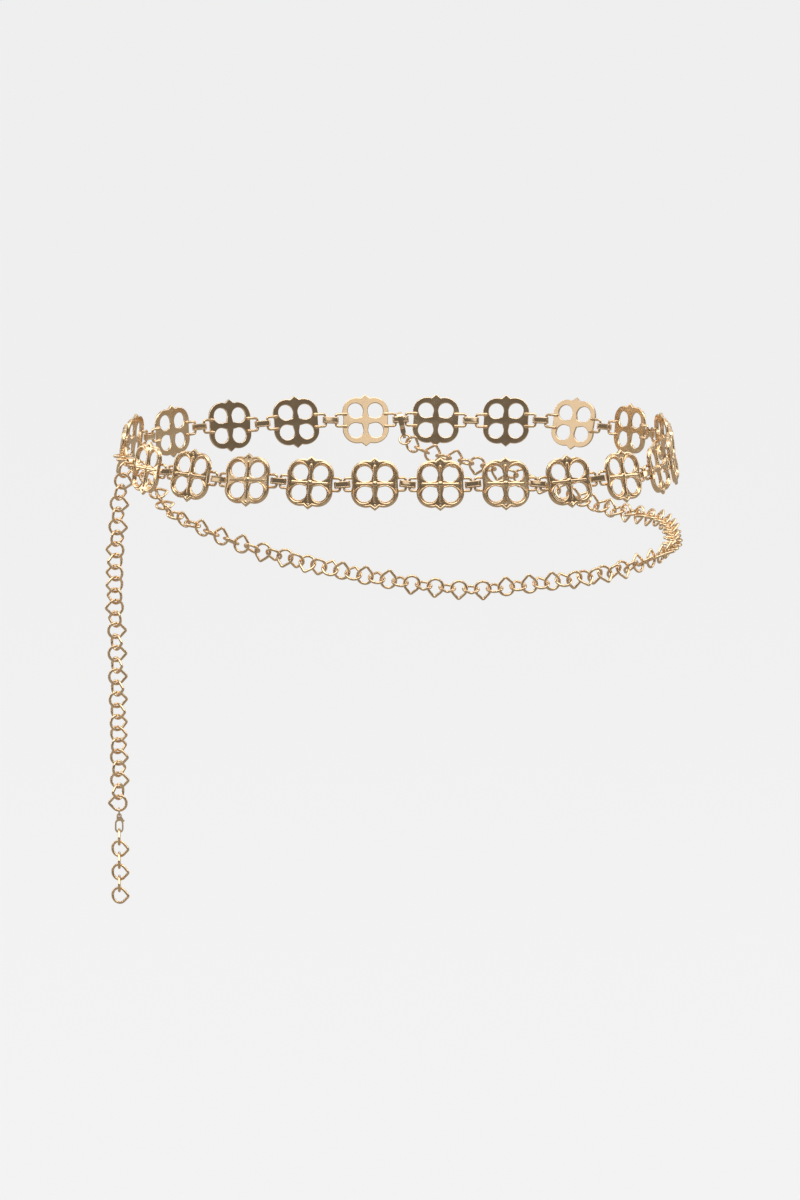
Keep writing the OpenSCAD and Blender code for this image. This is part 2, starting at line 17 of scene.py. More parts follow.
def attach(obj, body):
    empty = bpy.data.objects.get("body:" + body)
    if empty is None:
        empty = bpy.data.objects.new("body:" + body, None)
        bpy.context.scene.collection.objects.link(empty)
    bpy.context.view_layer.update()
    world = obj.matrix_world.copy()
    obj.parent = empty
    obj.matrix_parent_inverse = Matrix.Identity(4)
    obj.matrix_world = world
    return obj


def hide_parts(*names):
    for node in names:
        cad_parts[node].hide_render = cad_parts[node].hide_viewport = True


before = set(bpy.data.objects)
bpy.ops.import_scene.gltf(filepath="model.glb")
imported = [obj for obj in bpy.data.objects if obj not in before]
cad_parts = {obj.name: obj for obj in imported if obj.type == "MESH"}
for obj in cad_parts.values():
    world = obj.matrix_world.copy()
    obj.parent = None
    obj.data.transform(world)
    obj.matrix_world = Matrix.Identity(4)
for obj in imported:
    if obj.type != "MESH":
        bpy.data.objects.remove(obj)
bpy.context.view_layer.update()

LOG = logging.getLogger("waist_chain")
MM = 0.001
UP = Vector((0, 0, 1))
RIGHT = Vector((1, 0, 0))
BODY = "chain"
# Angle over which an edge stays sharp, in degrees
SHARP = 40
# The steps of a quarter round
QUARTER = [math.pi / 6 * i for i in range(4)]
# Sockets of the colour mix node, which has them for other kinds of data too under the same names
MIX_A, MIX_B, MIX_RESULT = 6, 7, 2
# How deep a raised piece's foot lies in the plate under it, so that no gap shows, and how near a skin
# comes to a point
SUNK = 0.02
NIL = 0.01
# Least share by which a corner's mitre is held back, so that a sharp corner isn't drawn out
LEAST_MITRE = 0.3
# The middles of the four petals, and of the four ribs between them, in degrees
PETALS = (45, 135, 225, 315)
RIBS = (0, 90, 180, 270)


class Side(Enum):
    """Which end of a medallion a staple bar is on, seen from the front."""

    LEFT = -1
    RIGHT = 1


class Slot(Enum):
    """Places of the finishes on a medallion."""

    POLISHED = 0
    # The flat front between the raised parts, darker in tone as painted shade of the recesses
    SHADED_GROUND = 1
    BACK = 2


# Placing


def turned(v: Vector, axis: str, degrees: float) -> Vector:
    """Turns a vector about one axis.

    Args:
        v: The vector.
        axis: "X", "Y" or "Z".
        degrees: The turn, by the right-hand rule.

    Returns:
        The turned vector.
    """
    return Matrix.Rotation(math.radians(degrees), 3, axis) @ v


def bearing(v: Vector) -> float:
    """Gives a vector's direction on the ground plane, in degrees from +X."""
    return math.degrees(math.atan2(v.y, v.x))


def level(degrees: float) -> Vector:
    """Gives the level unit vector at a bearing."""
    return turned(RIGHT, "Z", degrees)


def lay(at: Vector, way: Vector, side: Vector, roll: float) -> Matrix:
    """Places a piece by its own X and its roll about it.

    Args:
        at: Where the piece's origin goes.
        way: Where its X points.
        side: What its Y leans towards at no roll.
        roll: Turn about X, in degrees.

    Returns:
        The piece's matrix, in millimetres.
    """
    x = way.normalized()
    s = (side - side.dot(x) * x).normalized()
    y = math.cos(math.radians(roll)) * s + math.sin(math.radians(roll)) * x.cross(s)
    z = x.cross(y)
    rows = [(x[i], y[i], z[i], at[i]) for i in range(3)]
    return Matrix([*rows, (0, 0, 0, 1)])


class Route:
    """A line through space that pieces are threaded along."""

    def __init__(self, points: list[Vector]) -> None:
        """Keeps the points and their running lengths."""
        self.points = points
        self.marks = [0.0]
        for a, b in zip(points, points[1:]):
            self.marks.append(self.marks[-1] + (b - a).length)

    @property
    def length(self) -> float:
        """Length of the whole line."""
        return self.marks[-1]

    def place(self, s: float) -> Vector:
        """Gives the point at a running length, held to the line's ends."""
        s = min(max(s, 0.0), self.length)
        low, high = 0, len(self.marks) - 1
        while high - low > 1:
            middle = (low + high) // 2
            if self.marks[middle] <= s:
                low = middle
            else:
                high = middle
        share = (s - self.marks[low]) / (self.marks[high] - self.marks[low])
        return self.points[low].lerp(self.points[high], share)

    def frame(self, s: float, half: float, side: Vector, roll: float) -> Matrix:
        """Places a piece on the line.

        Args:
            s: Running length of the piece's middle.
            half: Half of the piece's share of the line.
            side: What its Y leans towards at no roll.
            roll: Turn about the line, in degrees.

        Returns:
            The piece's matrix, in millimetres.
        """
        reach = min(half, s)
        a = self.place(s - reach)
        b = self.place(s + reach)
        return lay((a + b) / 2, b - a, side, roll)


def way_at(a: Vector, b: Vector, c: Vector) -> Vector:
    """Gives the way of a smooth curve at b, between its neighbours."""
    u = (b - a).length
    v = (c - b).length
    return ((b - a) * v / u + (c - b) * u / v) / (u + v)


def smooth(points: list[Vector], steps: int = 10) -> list[Vector]:
    """Draws a smooth curve through chosen points.

    Args:
        points: The chosen points.
        steps: Short spans between two of them.

    Returns:
        The curve's points.
    """
    out = []
    last = len(points) - 1
    for i in range(last):
        b, c = points[i], points[i + 1]
        span = (c - b).length
        leave = span * ((c - b).normalized() if i == 0 else way_at(points[i - 1], b, c))
        meet = span * ((c - b).normalized() if i + 2 > last else way_at(b, c, points[i + 2]))
        for j in range(steps + (i == last - 1)):
            t = j / steps
            out.append(
                b + t * leave + t * t * (3 * (c - b) - 2 * leave - meet)
                + t * t * t * (2 * (b - c) + leave + meet)
            )
    return out


# Meshes


@dataclass
class Shape:
    """Corners and faces of one piece in the making, in millimetres."""

    corners: list[Vector] = field(default_factory=list)
    faces: list[tuple[int, ...]] = field(default_factory=list)
    slots: list[int] = field(default_factory=list)

    def add(
        self, corners: list[Vector], faces: list[tuple[int, ...]], slot: Slot = Slot.POLISHED
    ) -> None:
        """Adds corners and the faces between them, in one finish."""
        start = len(self.corners)
        self.corners += corners
        self.faces += [tuple(start + i for i in f) for f in faces]
        self.slots += [slot.value] * len(faces)

    def take(self, other: "Shape", place: Matrix) -> None:
        """Adds a whole shape at a place."""
        start = len(self.corners)
        self.corners += [place @ c for c in other.corners]
        flip = place.to_3x3().determinant() < 0
        for f, slot in zip(other.faces, other.slots):
            moved = tuple(start + i for i in f)
            self.faces.append(moved[::-1] if flip else moved)
            self.slots.append(slot)

    def tube(self, path: list[Vector], radii: list[float], closed: bool, sides: int = 14) -> None:
        """Adds round wire along a path that lies flat in XY.

        Args:
            path: The wire's middle line.
            radii: Its radius at each point.
            closed: Whether the path runs round to its start.
            sides: Corners round the wire.
        """
        count = len(path)
        rings = []
        for i, p in enumerate(path):
            before = path[(i - 1) % count] if closed or i else p
            after = path[(i + 1) % count] if closed or i < count - 1 else p
            along = (after - before).normalized()
            out = Vector((along.y, -along.x, 0))
            turns = [2 * math.pi * k / sides for k in range(sides)]
            rings += [p + radii[i] * (math.cos(a) * out + math.sin(a) * UP) for a in turns]
        faces = []
        for i in range(count if closed else count - 1):
            for k in range(sides):
                here, there = i * sides, (i + 1) % count * sides
                after = (k + 1) % sides
                faces.append((here + k, here + after, there + after, there + k))
        if not closed:
            faces.append(tuple(range(sides))[::-1])
            faces.append(tuple((count - 1) * sides + k for k in range(sides)))
        self.add(rings, faces)

    def sheet(self, rows: list[list[Vector]], around: bool = False) -> None:
        """Adds a skin over rows of corners.

        Args:
            rows: Rows of equal length, one beside another.
            around: Whether each row runs round to its start.
        """
        wide = len(rows[0])
        faces = []
        for r in range(len(rows) - 1):
            for k in range(wide if around else wide - 1):
                after = (k + 1) % wide
                faces.append((r * wide + k, r * wide + after, (r + 1) * wide + after, (r + 1) * wide + k))
        self.add([c for row in rows for c in row], faces)

    def plate(
        self, outlines: list[list[Vector]], low: float, high: float, front_r: float, back_r: float
    ) -> None:
        """Adds a flat plate with openings, its edges rounded.

        Args:
            outlines: The outer outline, anticlockwise, then the openings, clockwise.
            low: Height of its back.
            high: Height of its front.
            front_r: Rounding of the front edges.
            back_r: Rounding of the back edges.
        """
        levels = [(back_r * (1 - math.sin(a)), low + back_r * (1 - math.cos(a))) for a in QUARTER]
        levels += [(front_r * (1 - math.cos(a)), high - front_r * (1 - math.sin(a))) for a in QUARTER]
        for outline in outlines:
            self.sheet([[p + UP * z for p in drawn_in(outline, by)] for by, z in levels], around=True)
        # The front face takes the ground finish, whose darker tone is painted shade of the recesses
        for by, z, slot in ((back_r, low, Slot.BACK), (front_r, high, Slot.SHADED_GROUND)):
            rims = [[p + UP * z for p in drawn_in(outline, by)] for outline in outlines]
            corners = [p for rim in rims for p in rim]
            upward = slot is Slot.SHADED_GROUND
            faces = [
                f if self.faces_up(corners, f) == upward else f[::-1] for f in tessellate_polygon(rims)
            ]
            self.add(corners, faces, slot)

    @staticmethod
    def faces_up(corners: list[Vector], face: tuple[int, ...]) -> bool:
        """Tells whether a face looks up."""
        a, b, c = (corners[i] for i in face[:3])
        return (b - a).cross(c - a).z > 0

    def mesh(self, name: str) -> bpy.types.Mesh:
        """Makes the mesh, in metres, smooth but for its flat sides and sharp edges."""
        mesh = bpy.data.meshes.new(name)
        mesh.from_pydata([c * MM for c in self.corners], [], self.faces)
        mesh.polygons.foreach_set("material_index", self.slots)
        mesh.shade_smooth()
        for face in mesh.polygons:
            face.use_smooth = face.material_index == Slot.POLISHED.value
        mesh.set_sharp_from_angle(angle=math.radians(SHARP))
        return mesh


def drawn_in(outline: list[Vector], by: float) -> list[Vector]:
    """Draws a closed outline in, to the left of its way.

    Args:
        outline: The outline.
        by: Distance.

    Returns:
        The smaller outline.
    """
    out = []
    for before, here, after in zip([outline[-1], *outline[:-1]], outline, [*outline[1:], outline[0]]):
        u, v = (here - before).normalized(), (after - here).normalized()
        left = Vector((-u.y - v.y, u.x + v.x, 0)) / 2
        out.append(here + left * (by / max(left.length_squared, LEAST_MITRE)))
    return out


def arc(centre: Vector, radius: float, start: float, end: float, steps: int) -> list[Vector]:
    """Gives points along an arc in XY, both ends included.

    Args:
        centre: The arc's centre.
        radius: Its radius.
        start: Angle of its first point, in degrees.
        end: Angle of its last point, in degrees.
        steps: Spans between the points.

    Returns:
        The points.
    """
    turns = [math.radians(start + (end - start) * i / steps) for i in range(steps + 1)]
    return [centre + radius * Vector((math.cos(a), math.sin(a), 0)) for a in turns]


# Finishes


class Nodes:
    """A short hand for building a node tree."""

    def __init__(self, tree: bpy.types.NodeTree) -> None:
        """Starts on a tree."""
        self.tree = tree

    def add(self, kind: str, **values: object) -> bpy.types.Node:
        """Adds a node and sets its properties and its inputs by name.

        Args:
            kind: The node's type name.
            values: Property or input names, with _ for a space, and their values.

        Returns:
            The node.
        """
        node = self.tree.nodes.new(kind)
        for name, value in values.items():
            if hasattr(node, name):
                setattr(node, name, value)
            else:
                node.inputs[name.replace("_", " ")].default_value = value
        return node

    def link(self, out: bpy.types.NodeSocket, into: bpy.types.NodeSocket) -> None:
        """Joins two sockets."""
        self.tree.links.new(out, into)


class HandPolish:
    """Fine scratches and faint dulling that a buffing wheel and wear leave on plated metal."""

    NAME = "hand polish"
    # How much finer the scratches are across than along, and how they lie
    FINER = (1.0, 6.0, 1.0)
    LIE = (0.3, 0.2, 0.7)
    # Dull patches to a metre
    PATCHES = 140.0
    # The part of the noise that is spread over the whole range of roughness
    LEAST, MOST = 0.12, 0.42
    # The group's inputs and their values where a finish sets none
    INPUTS = {"Grain": 900.0, "Dullest": 0.3, "Brightest": 0.12}

    def __init__(self) -> None:
        """Builds the shared group once."""
        self.tree = bpy.data.node_groups.new(self.NAME, "ShaderNodeTree")
        sides = self.tree.interface
        for name, usual in self.INPUTS.items():
            socket = sides.new_socket(name, in_out="INPUT", socket_type="NodeSocketFloat")
            socket.default_value = usual
        for name in ("Roughness", "Height", "Patch"):
            sides.new_socket(name, in_out="OUTPUT", socket_type="NodeSocketFloat")
        nodes = Nodes(self.tree)
        ins = nodes.add("NodeGroupInput")
        outs = nodes.add("NodeGroupOutput")
        where = nodes.add("ShaderNodeTexCoord")
        streak = nodes.add("ShaderNodeMapping")
        streak.inputs["Scale"].default_value = self.FINER
        streak.inputs["Rotation"].default_value = self.LIE
        nodes.link(where.outputs["Object"], streak.inputs["Vector"])
        scratch = nodes.add("ShaderNodeTexNoise", Detail=4.0, Roughness=0.6)
        nodes.link(streak.outputs["Vector"], scratch.inputs["Vector"])
        nodes.link(ins.outputs["Grain"], scratch.inputs["Scale"])
        patch = nodes.add("ShaderNodeTexNoise", Scale=self.PATCHES, Detail=2.0)
        nodes.link(where.outputs["Object"], patch.inputs["Vector"])
        both = nodes.add("ShaderNodeMath", operation="MULTIPLY")
        nodes.link(scratch.outputs["Fac"], both.inputs[0])
        nodes.link(patch.outputs["Fac"], both.inputs[1])
        spread = nodes.add("ShaderNodeMapRange")
        spread.inputs["From Min"].default_value = self.LEAST
        spread.inputs["From Max"].default_value = self.MOST
        nodes.link(both.outputs[0], spread.inputs["Value"])
        nodes.link(ins.outputs["Brightest"], spread.inputs["To Min"])
        nodes.link(ins.outputs["Dullest"], spread.inputs["To Max"])
        nodes.link(spread.outputs["Result"], outs.inputs["Roughness"])
        nodes.link(scratch.outputs["Fac"], outs.inputs["Height"])
        nodes.link(patch.outputs["Fac"], outs.inputs["Patch"])


# Depth of the finest scratches, in metres, and the part of the patches' noise that shifts the tone
SCRATCH = 0.00005
TONE_FROM, TONE_TO = 0.3, 0.6


@dataclass(frozen=True)
class MetalFinish:
    """One finish of the gold-toned plating: its tones, its roughness, its scratches to a metre and
    how deep they read."""

    name: str
    light: tuple[float, float, float]
    deep: tuple[float, float, float]
    brightest: float
    dullest: float
    grain: float
    relief: float

    def material(self, polish: HandPolish) -> bpy.types.Material:
        """Makes the material.

        Args:
            polish: The group that all the metal shares.

        Returns:
            The material.
        """
        material = bpy.data.materials.new(self.name)
        material.use_nodes = True
        nodes = Nodes(material.node_tree)
        metal = material.node_tree.nodes["Principled BSDF"]
        metal.inputs["Metallic"].default_value = 1.0
        wear = nodes.add("ShaderNodeGroup")
        wear.node_tree = polish.tree
        wear.inputs["Grain"].default_value = self.grain
        wear.inputs["Brightest"].default_value = self.brightest
        wear.inputs["Dullest"].default_value = self.dullest
        tone = nodes.add("ShaderNodeMix", data_type="RGBA")
        tone.inputs[MIX_A].default_value = (*self.deep, 1)
        tone.inputs[MIX_B].default_value = (*self.light, 1)
        spread = nodes.add("ShaderNodeMapRange")
        spread.inputs["From Min"].default_value = TONE_FROM
        spread.inputs["From Max"].default_value = TONE_TO
        nodes.link(wear.outputs["Patch"], spread.inputs["Value"])
        nodes.link(spread.outputs["Result"], tone.inputs[0])
        nodes.link(tone.outputs[MIX_RESULT], metal.inputs["Base Color"])
        nodes.link(wear.outputs["Roughness"], metal.inputs["Roughness"])
        bump = nodes.add("ShaderNodeBump", Strength=self.relief, Distance=SCRATCH)
        nodes.link(wear.outputs["Height"], bump.inputs["Height"])
        nodes.link(bump.outputs["Normal"], metal.inputs["Normal"])
        return material


POLISHED = MetalFinish(
    name="polished pale gold",
    light=(0.90, 0.67, 0.42),
    deep=(0.82, 0.585, 0.35),
    brightest=0.07,
    dullest=0.18,
    grain=1400,
    relief=0.1,
)
# The flat ground of the front between the raised parts: brushed, and darker in tone as painted shade of
# the recesses between the raised parts
SHADED_GROUND = MetalFinish(
    name="brushed gold ground with painted shade",
    light=(0.55, 0.42, 0.30),
    deep=(0.41, 0.305, 0.22),
    brightest=0.20,
    dullest=0.34,
    grain=2200,
    relief=0.3,
)
BACK = MetalFinish(
    name="satin gold back",
    light=(0.64, 0.525, 0.43),
    deep=(0.52, 0.425, 0.345),
    brightest=0.24,
    dullest=0.38,
    grain=2600,
    relief=0.5,
)


class Finishes:
    """All the materials of the piece."""

    def __init__(self) -> None:
        """Makes each material once."""
        polish = HandPolish()
        self.polished = POLISHED.material(polish)
        # The ground's darker tone is painted shade of the recesses between the raised parts
        self.ground = SHADED_GROUND.material(polish)
        self.back = BACK.material(polish)

    def dress(self, mesh: bpy.types.Mesh) -> None:
        """Gives a mesh the finishes in the order of Slot."""
        mesh.materials.clear()
        for material in (self.polished, self.ground, self.back):
            mesh.materials.append(material)


def set_out(
    name: str, mesh: bpy.types.Mesh, place: Matrix | None, node: str, body: str = BODY
) -> None:
    """Puts a piece in the scene in place of a solid.

    Args:
        name: The piece's name.
        mesh: Its mesh, in metres.
        place: Its place, in millimetres, or None where the mesh is already in place.
        node: The solid that it stands for, which it hides.
        body: The body that it rides on.
    """
    piece = bpy.data.objects.new(name, mesh)
    bpy.context.scene.collection.objects.link(piece)
    if place is not None:
        moved = place.copy()
        moved.translation = place.translation * MM
        piece.matrix_world = moved
    bpy.context.view_layer.update()
    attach(piece, body)
    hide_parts(node)
    LOG.info("%s: %d faces", name, len(mesh.polygons))


# The belt


@dataclass
class Medallion:
    """A pierced four-lobed medallion with raised crescents and two soldered staples."""

    # The plate, its four lobes and its four openings, each with a point towards the middle
    width: float = 26
    lobe_r: float = 8.2
    petal_r: float = 4.3
    rib_w: float = 2.6
    petal_point: float = 2.9
    thickness: float = 1.4
    edge_r: float = 0.25
    back_edge_r: float = 0.3
    lobe_steps: int = 40
    petal_steps: int = 32
    # The crescents: how far their inner round lies out from the opening, and how their section runs
    crescent_in: float = 0.15
    crescent_out_r: float = 5.35
    crescent_shift: float = 1.45
    crescent_h: float = 0.95
    crescent_steps: int = 40
    fullness: float = 0.85
    bead_share: float = 0.24
    bead_h_share: float = 0.62
    bead_run: float = 0.94
    valley: float = 0.12
    bead_steps: int = 6
    dome_steps: int = 10
    # The ribs between the lobes
    vein_w: float = 1.7
    vein_h: float = 0.6
    vein_in: float = 0.4
    vein_short: float = 0.75
    vein_end: float = 0.03
    vein_steps: tuple[int, int] = (14, 10)
    # The boss in the middle, the border along the outline and the bead round each opening
    boss_d: float = 3.4
    boss_h: float = 0.9
    boss_steps: tuple[int, int] = (8, 24)
    border_in: float = 0.24
    border_w: float = 1.1
    border_h: float = 0.42
    border_steps: int = 6
    rim_r: float = 0.2
    rim_lift: float = 0.05
    rim_sides: int = 8
    # The faceted ridges on the points at the top and the bottom
    ridge_short: float = 0.35
    ridge_in: float = 0.3
    ridge_w: float = 1.5
    ridge_wide_at: float = 1.1
    ridge_h: float = 0.5
    ridge_fall: float = 0.6
    ridge_dip: float = 0.25
    ridge_rise: float = 0.9
    point_l: float = 3.3
    point_w: float = 6.4
    # The staples and the solder at their feet
    staple_wire: float = 1.5
    staple_span: float = 7.0
    staple_out: float = 3.8
    prong_l: float = 2.6
    solder_sink: float = 0.2
    staple_bend: float = 1.3
    bend_steps: int = 8
    # How far from a prong's end its wire has which share of its radius
    prong_end: tuple[tuple[float, float], ...] = ((0, 0.55), (0.12, 0.86), (0.35, 1.0))
    solder_size: tuple[float, float, float] = (1.35, 1.05, 0.42)
    solder_up: float = 0.05
    solder_from_edge: float = 1.3
    solder_steps: tuple[int, int] = (4, 20)

    @property
    def lobe_c(self) -> float:
        """Distance of each lobe's centre from both axes."""
        return self.width / 2 - self.lobe_r

    @property
    def notch(self) -> float:
        """Distance of the notches between the lobes from the middle."""
        return self.lobe_c + math.sqrt(self.lobe_r**2 - self.lobe_c**2)

    @property
    def bar_reach(self) -> float:
        """Distance of the staple bars from the middle."""
        return self.width / 2 + self.staple_out

    @property
    def edge_x(self) -> float:
        """Distance of the plate's edge from the middle, where a staple's prong crosses it."""
        return self.lobe_c + math.sqrt(self.lobe_r**2 - (self.staple_span / 2 - self.lobe_c) ** 2)

    @property
    def bar_z(self) -> float:
        """Height of the staples over the back of the plate."""
        return self.solder_sink - self.staple_wire / 2

    @property
    def petal_far(self) -> float:
        """Distance of each petal's centre from the middle."""
        return (self.petal_r + self.rib_w / 2) * math.sqrt(2)

    def outline(self) -> list[Vector]:
        """Gives the plate's outline, lobe by lobe, with a point at the top and the bottom."""
        half = math.degrees(math.atan2(self.lobe_c, self.notch - self.lobe_c))
        lobe = arc(Vector((self.lobe_c, self.lobe_c, 0)), self.lobe_r, -half, 90 + half, self.lobe_steps)
        slope = self.point_l / (self.point_w / 2)
        tip = self.notch + self.point_l
        quarter = [p for p in lobe if p.y > tip - slope * p.x]
        left = [Vector((-p.x, p.y, 0)) for p in reversed(quarter)]
        top = [*quarter, Vector((0, tip, 0)), *left[:-1]]
        return [*top, *[Vector((-p.x, -p.y, 0)) for p in top]]

    def petal(self, degrees: float) -> list[Vector]:
        """Gives the outline of one almond opening at a bearing."""
        touch = 90 - math.degrees(math.asin(self.petal_r / (self.petal_far - self.petal_point)))
        far = Vector((self.petal_far, 0, 0))
        rim = arc(far, self.petal_r, touch - 180, 180 - touch, self.petal_steps)
        return [turned(p, "Z", degrees) for p in [*rim, Vector((self.petal_point, 0, 0))]]

    def crescent_profile(self) -> list[tuple[float, float]]:
        """Gives a crescent's section: a narrow bead, a groove and a broad dome.

        Returns:
            Shares of the crescent's width, each with its share of the height.
        """
        out = []
        for i in range(self.bead_steps):
            t = i / self.bead_steps
            rise = self.bead_h_share * math.sin(math.pi * t * self.bead_run)
            out.append((self.bead_share * t, rise))
        for k in range(self.dome_steps + 1):
            t = k / self.dome_steps
            across = self.bead_share + (1 - self.bead_share) * (0.5 - 0.5 * math.cos(math.pi * t))
            rise = max(math.sin(math.pi * t) ** self.fullness, self.valley * (1 - t))
            out.append((across, rise))
        return out

    def crescent(self, degrees: float) -> Shape:
        """Models one domed crescent round the outer end of a petal."""
        inner = self.petal_r + self.crescent_in
        far = Vector((self.petal_far, 0, 0))
        shift, out_r = self.crescent_shift, self.crescent_out_r
        reach = math.acos((inner**2 + shift**2 - out_r**2) / (2 * inner * shift))
        fattest = out_r + shift - inner
        rows = []
        for i in range(self.crescent_steps + 1):
            a = reach * (2 * i / self.crescent_steps - 1)
            way = Vector((math.cos(a), math.sin(a), 0))
            over = math.sqrt(out_r**2 - (shift * math.sin(a)) ** 2)
            wide = max(SUNK, shift * math.cos(a) + over - inner)
            high = self.crescent_h * math.sqrt(wide / fattest)
            rows.append([
                far + way * (inner + u * wide) + UP * (self.thickness + high * rise - SUNK)
                for u, rise in self.crescent_profile()
            ])
        shape = Shape()
        shape.sheet([[turned(p, "Z", degrees) for p in row] for row in rows])
        return shape

    def vein(self, degrees: float) -> Shape:
        """Models one rounded rib from the boss to a notch."""
        start, end = self.boss_d / 2 - self.vein_in, self.notch - self.vein_short
        rows = []
        steps, across = self.vein_steps
        for i in range(steps + 1):
            x = start + (end - start) * i / steps
            left = min(1.0, (end - x) / (self.vein_w / 2))
            round_off = math.sqrt(max(0.0, 1 - (1 - left) ** 2))
            row = []
            for k in range(across + 1):
                a = math.pi * k / across
                y = self.vein_w / 2 * math.cos(a) * max(round_off, self.vein_end)
                lift = self.vein_h * math.sin(a) * round_off
                row.append(Vector((x, y, self.thickness + lift - SUNK)))
            rows.append(row)
        shape = Shape()
        shape.sheet([[turned(p, "Z", degrees) for p in row] for row in rows])
        return shape

    def border(self) -> Shape:
        """Models the half-round border along the plate's outline."""
        rows = []
        for k in range(self.border_steps + 1):
            a = math.pi * k / self.border_steps
            inset = self.border_in + self.border_w * (0.5 - 0.5 * math.cos(a))
            lift = self.thickness + self.border_h * math.sin(a) - SUNK
            rows.append([p + UP * lift for p in drawn_in(self.outline(), inset)])
        shape = Shape()
        shape.sheet(rows, around=True)
        return shape

    def rim(self, degrees: float) -> Shape:
        """Models the fine bead round one petal."""
        line = drawn_in(self.petal(degrees)[::-1], self.edge_r + self.rim_r)
        lift = self.thickness + self.rim_lift
        shape = Shape()
        raised = [p + UP * lift for p in line]
        shape.tube(raised, [self.rim_r] * len(line), closed=True, sides=self.rim_sides)
        return shape

    def dome(self, radius: float, height: float, base: float) -> Shape:
        """Models a round dome in the middle.

        Args:
            radius: Its radius.
            height: Its height.
            base: Height of its foot.

        Returns:
            The dome.
        """
        shape = Shape()
        rows = []
        steps, around = self.boss_steps
        for i in range(steps + 1):
            a = math.pi / 2 * i / steps
            reach, lift = radius * math.cos(a), height * math.sin(a)
            ring = arc(Vector(), max(reach, NIL), 0, 360 - 360 / around, around - 1)
            rows.append([p + UP * (base + lift) for p in ring])
        shape.sheet(rows, around=True)
        return shape

    def point_ridge(self, sign: int) -> Shape:
        """Models the faceted ridge on the point at the top or the bottom."""
        tip = self.notch + self.point_l - self.ridge_short
        foot = self.notch - self.ridge_in
        wide = foot + self.ridge_wide_at
        base, top = self.thickness - SUNK, self.thickness + self.ridge_h
        corners = [
            (0, tip, base), (-self.ridge_w, wide, base), (0, foot, base), (self.ridge_w, wide, base),
            (0, tip - self.ridge_fall, top - self.ridge_dip), (0, foot + self.ridge_rise, top),
        ]
        faces = [(0, 1, 5, 4), (4, 5, 3, 0), (1, 2, 5), (2, 3, 5)]
        shape = Shape()
        shape.add(
            [Vector((x, sign * y, z)) for x, y, z in corners],
            faces if sign > 0 else [f[::-1] for f in faces],
        )
        return shape

    def staple(self) -> Shape:
        """Models one staple, beyond the +X side."""
        run = self.bar_reach - self.staple_bend
        half = self.staple_span / 2
        root = self.edge_x - self.prong_l
        upper = arc(Vector((run, half - self.staple_bend, 0)), self.staple_bend, 90, 0, self.bend_steps)
        lower = [Vector((p.x, -p.y, 0)) for p in reversed(upper)]
        start = [Vector((root + d, half, 0)) for d, _ in self.prong_end]
        finish = [Vector((p.x, -p.y, 0)) for p in reversed(start)]
        path = [*start, *upper, *lower, *finish]
        radii = [self.staple_wire / 2] * len(path)
        for k, (_, share) in enumerate(self.prong_end):
            radii[k] = radii[-1 - k] = self.staple_wire / 2 * share
        shape = Shape()
        shape.tube([p + UP * self.bar_z for p in path], radii, closed=False)
        return shape

    def solder(self, x: float, y: float) -> Shape:
        """Models the smooth fillet of solder at a prong's foot."""
        shape = Shape()
        rows = []
        steps, around = self.solder_steps
        long, wide, deep = self.solder_size
        for i in range(steps + 1):
            a = math.pi / 2 * i / steps
            ring = arc(Vector(), math.cos(a), 0, 360 - 360 / around, around - 1)
            lift = self.solder_up - deep * math.sin(a)
            rows.append([Vector((x + p.x * long, y + p.y * wide, lift)) for p in reversed(ring)])
        shape.sheet(rows, around=True)
        return shape

    def mesh(self, finishes: Finishes) -> bpy.types.Mesh:
        """Builds the whole medallion.

        Args:
            finishes: The materials.

        Returns:
            The mesh, in metres.
        """
        shape = Shape()
        outlines = [self.outline(), *[self.petal(a)[::-1] for a in PETALS]]
        shape.plate(outlines, 0, self.thickness, self.edge_r, self.back_edge_r)
        still = Matrix.Identity(4)
        for a in PETALS:
            shape.take(self.crescent(a), still)
            shape.take(self.rim(a), still)
        for a in RIBS:
            shape.take(self.vein(a), still)
        shape.take(self.border(), still)
        shape.take(self.dome(self.boss_d / 2, self.boss_h, self.thickness), still)
        for sign in (1, -1):
            shape.take(self.point_ridge(sign), still)
        staple = self.staple()
        shape.take(staple, still)
        shape.take(staple, Matrix.Scale(-1, 4, (1, 0, 0)))
        foot = self.edge_x - self.solder_from_edge
        for x in (-foot, foot):
            for y in (-self.staple_span / 2, self.staple_span / 2):
                shape.take(self.solder(x, y), still)
        mesh = shape.mesh("medallion")
        finishes.dress(mesh)
        return mesh


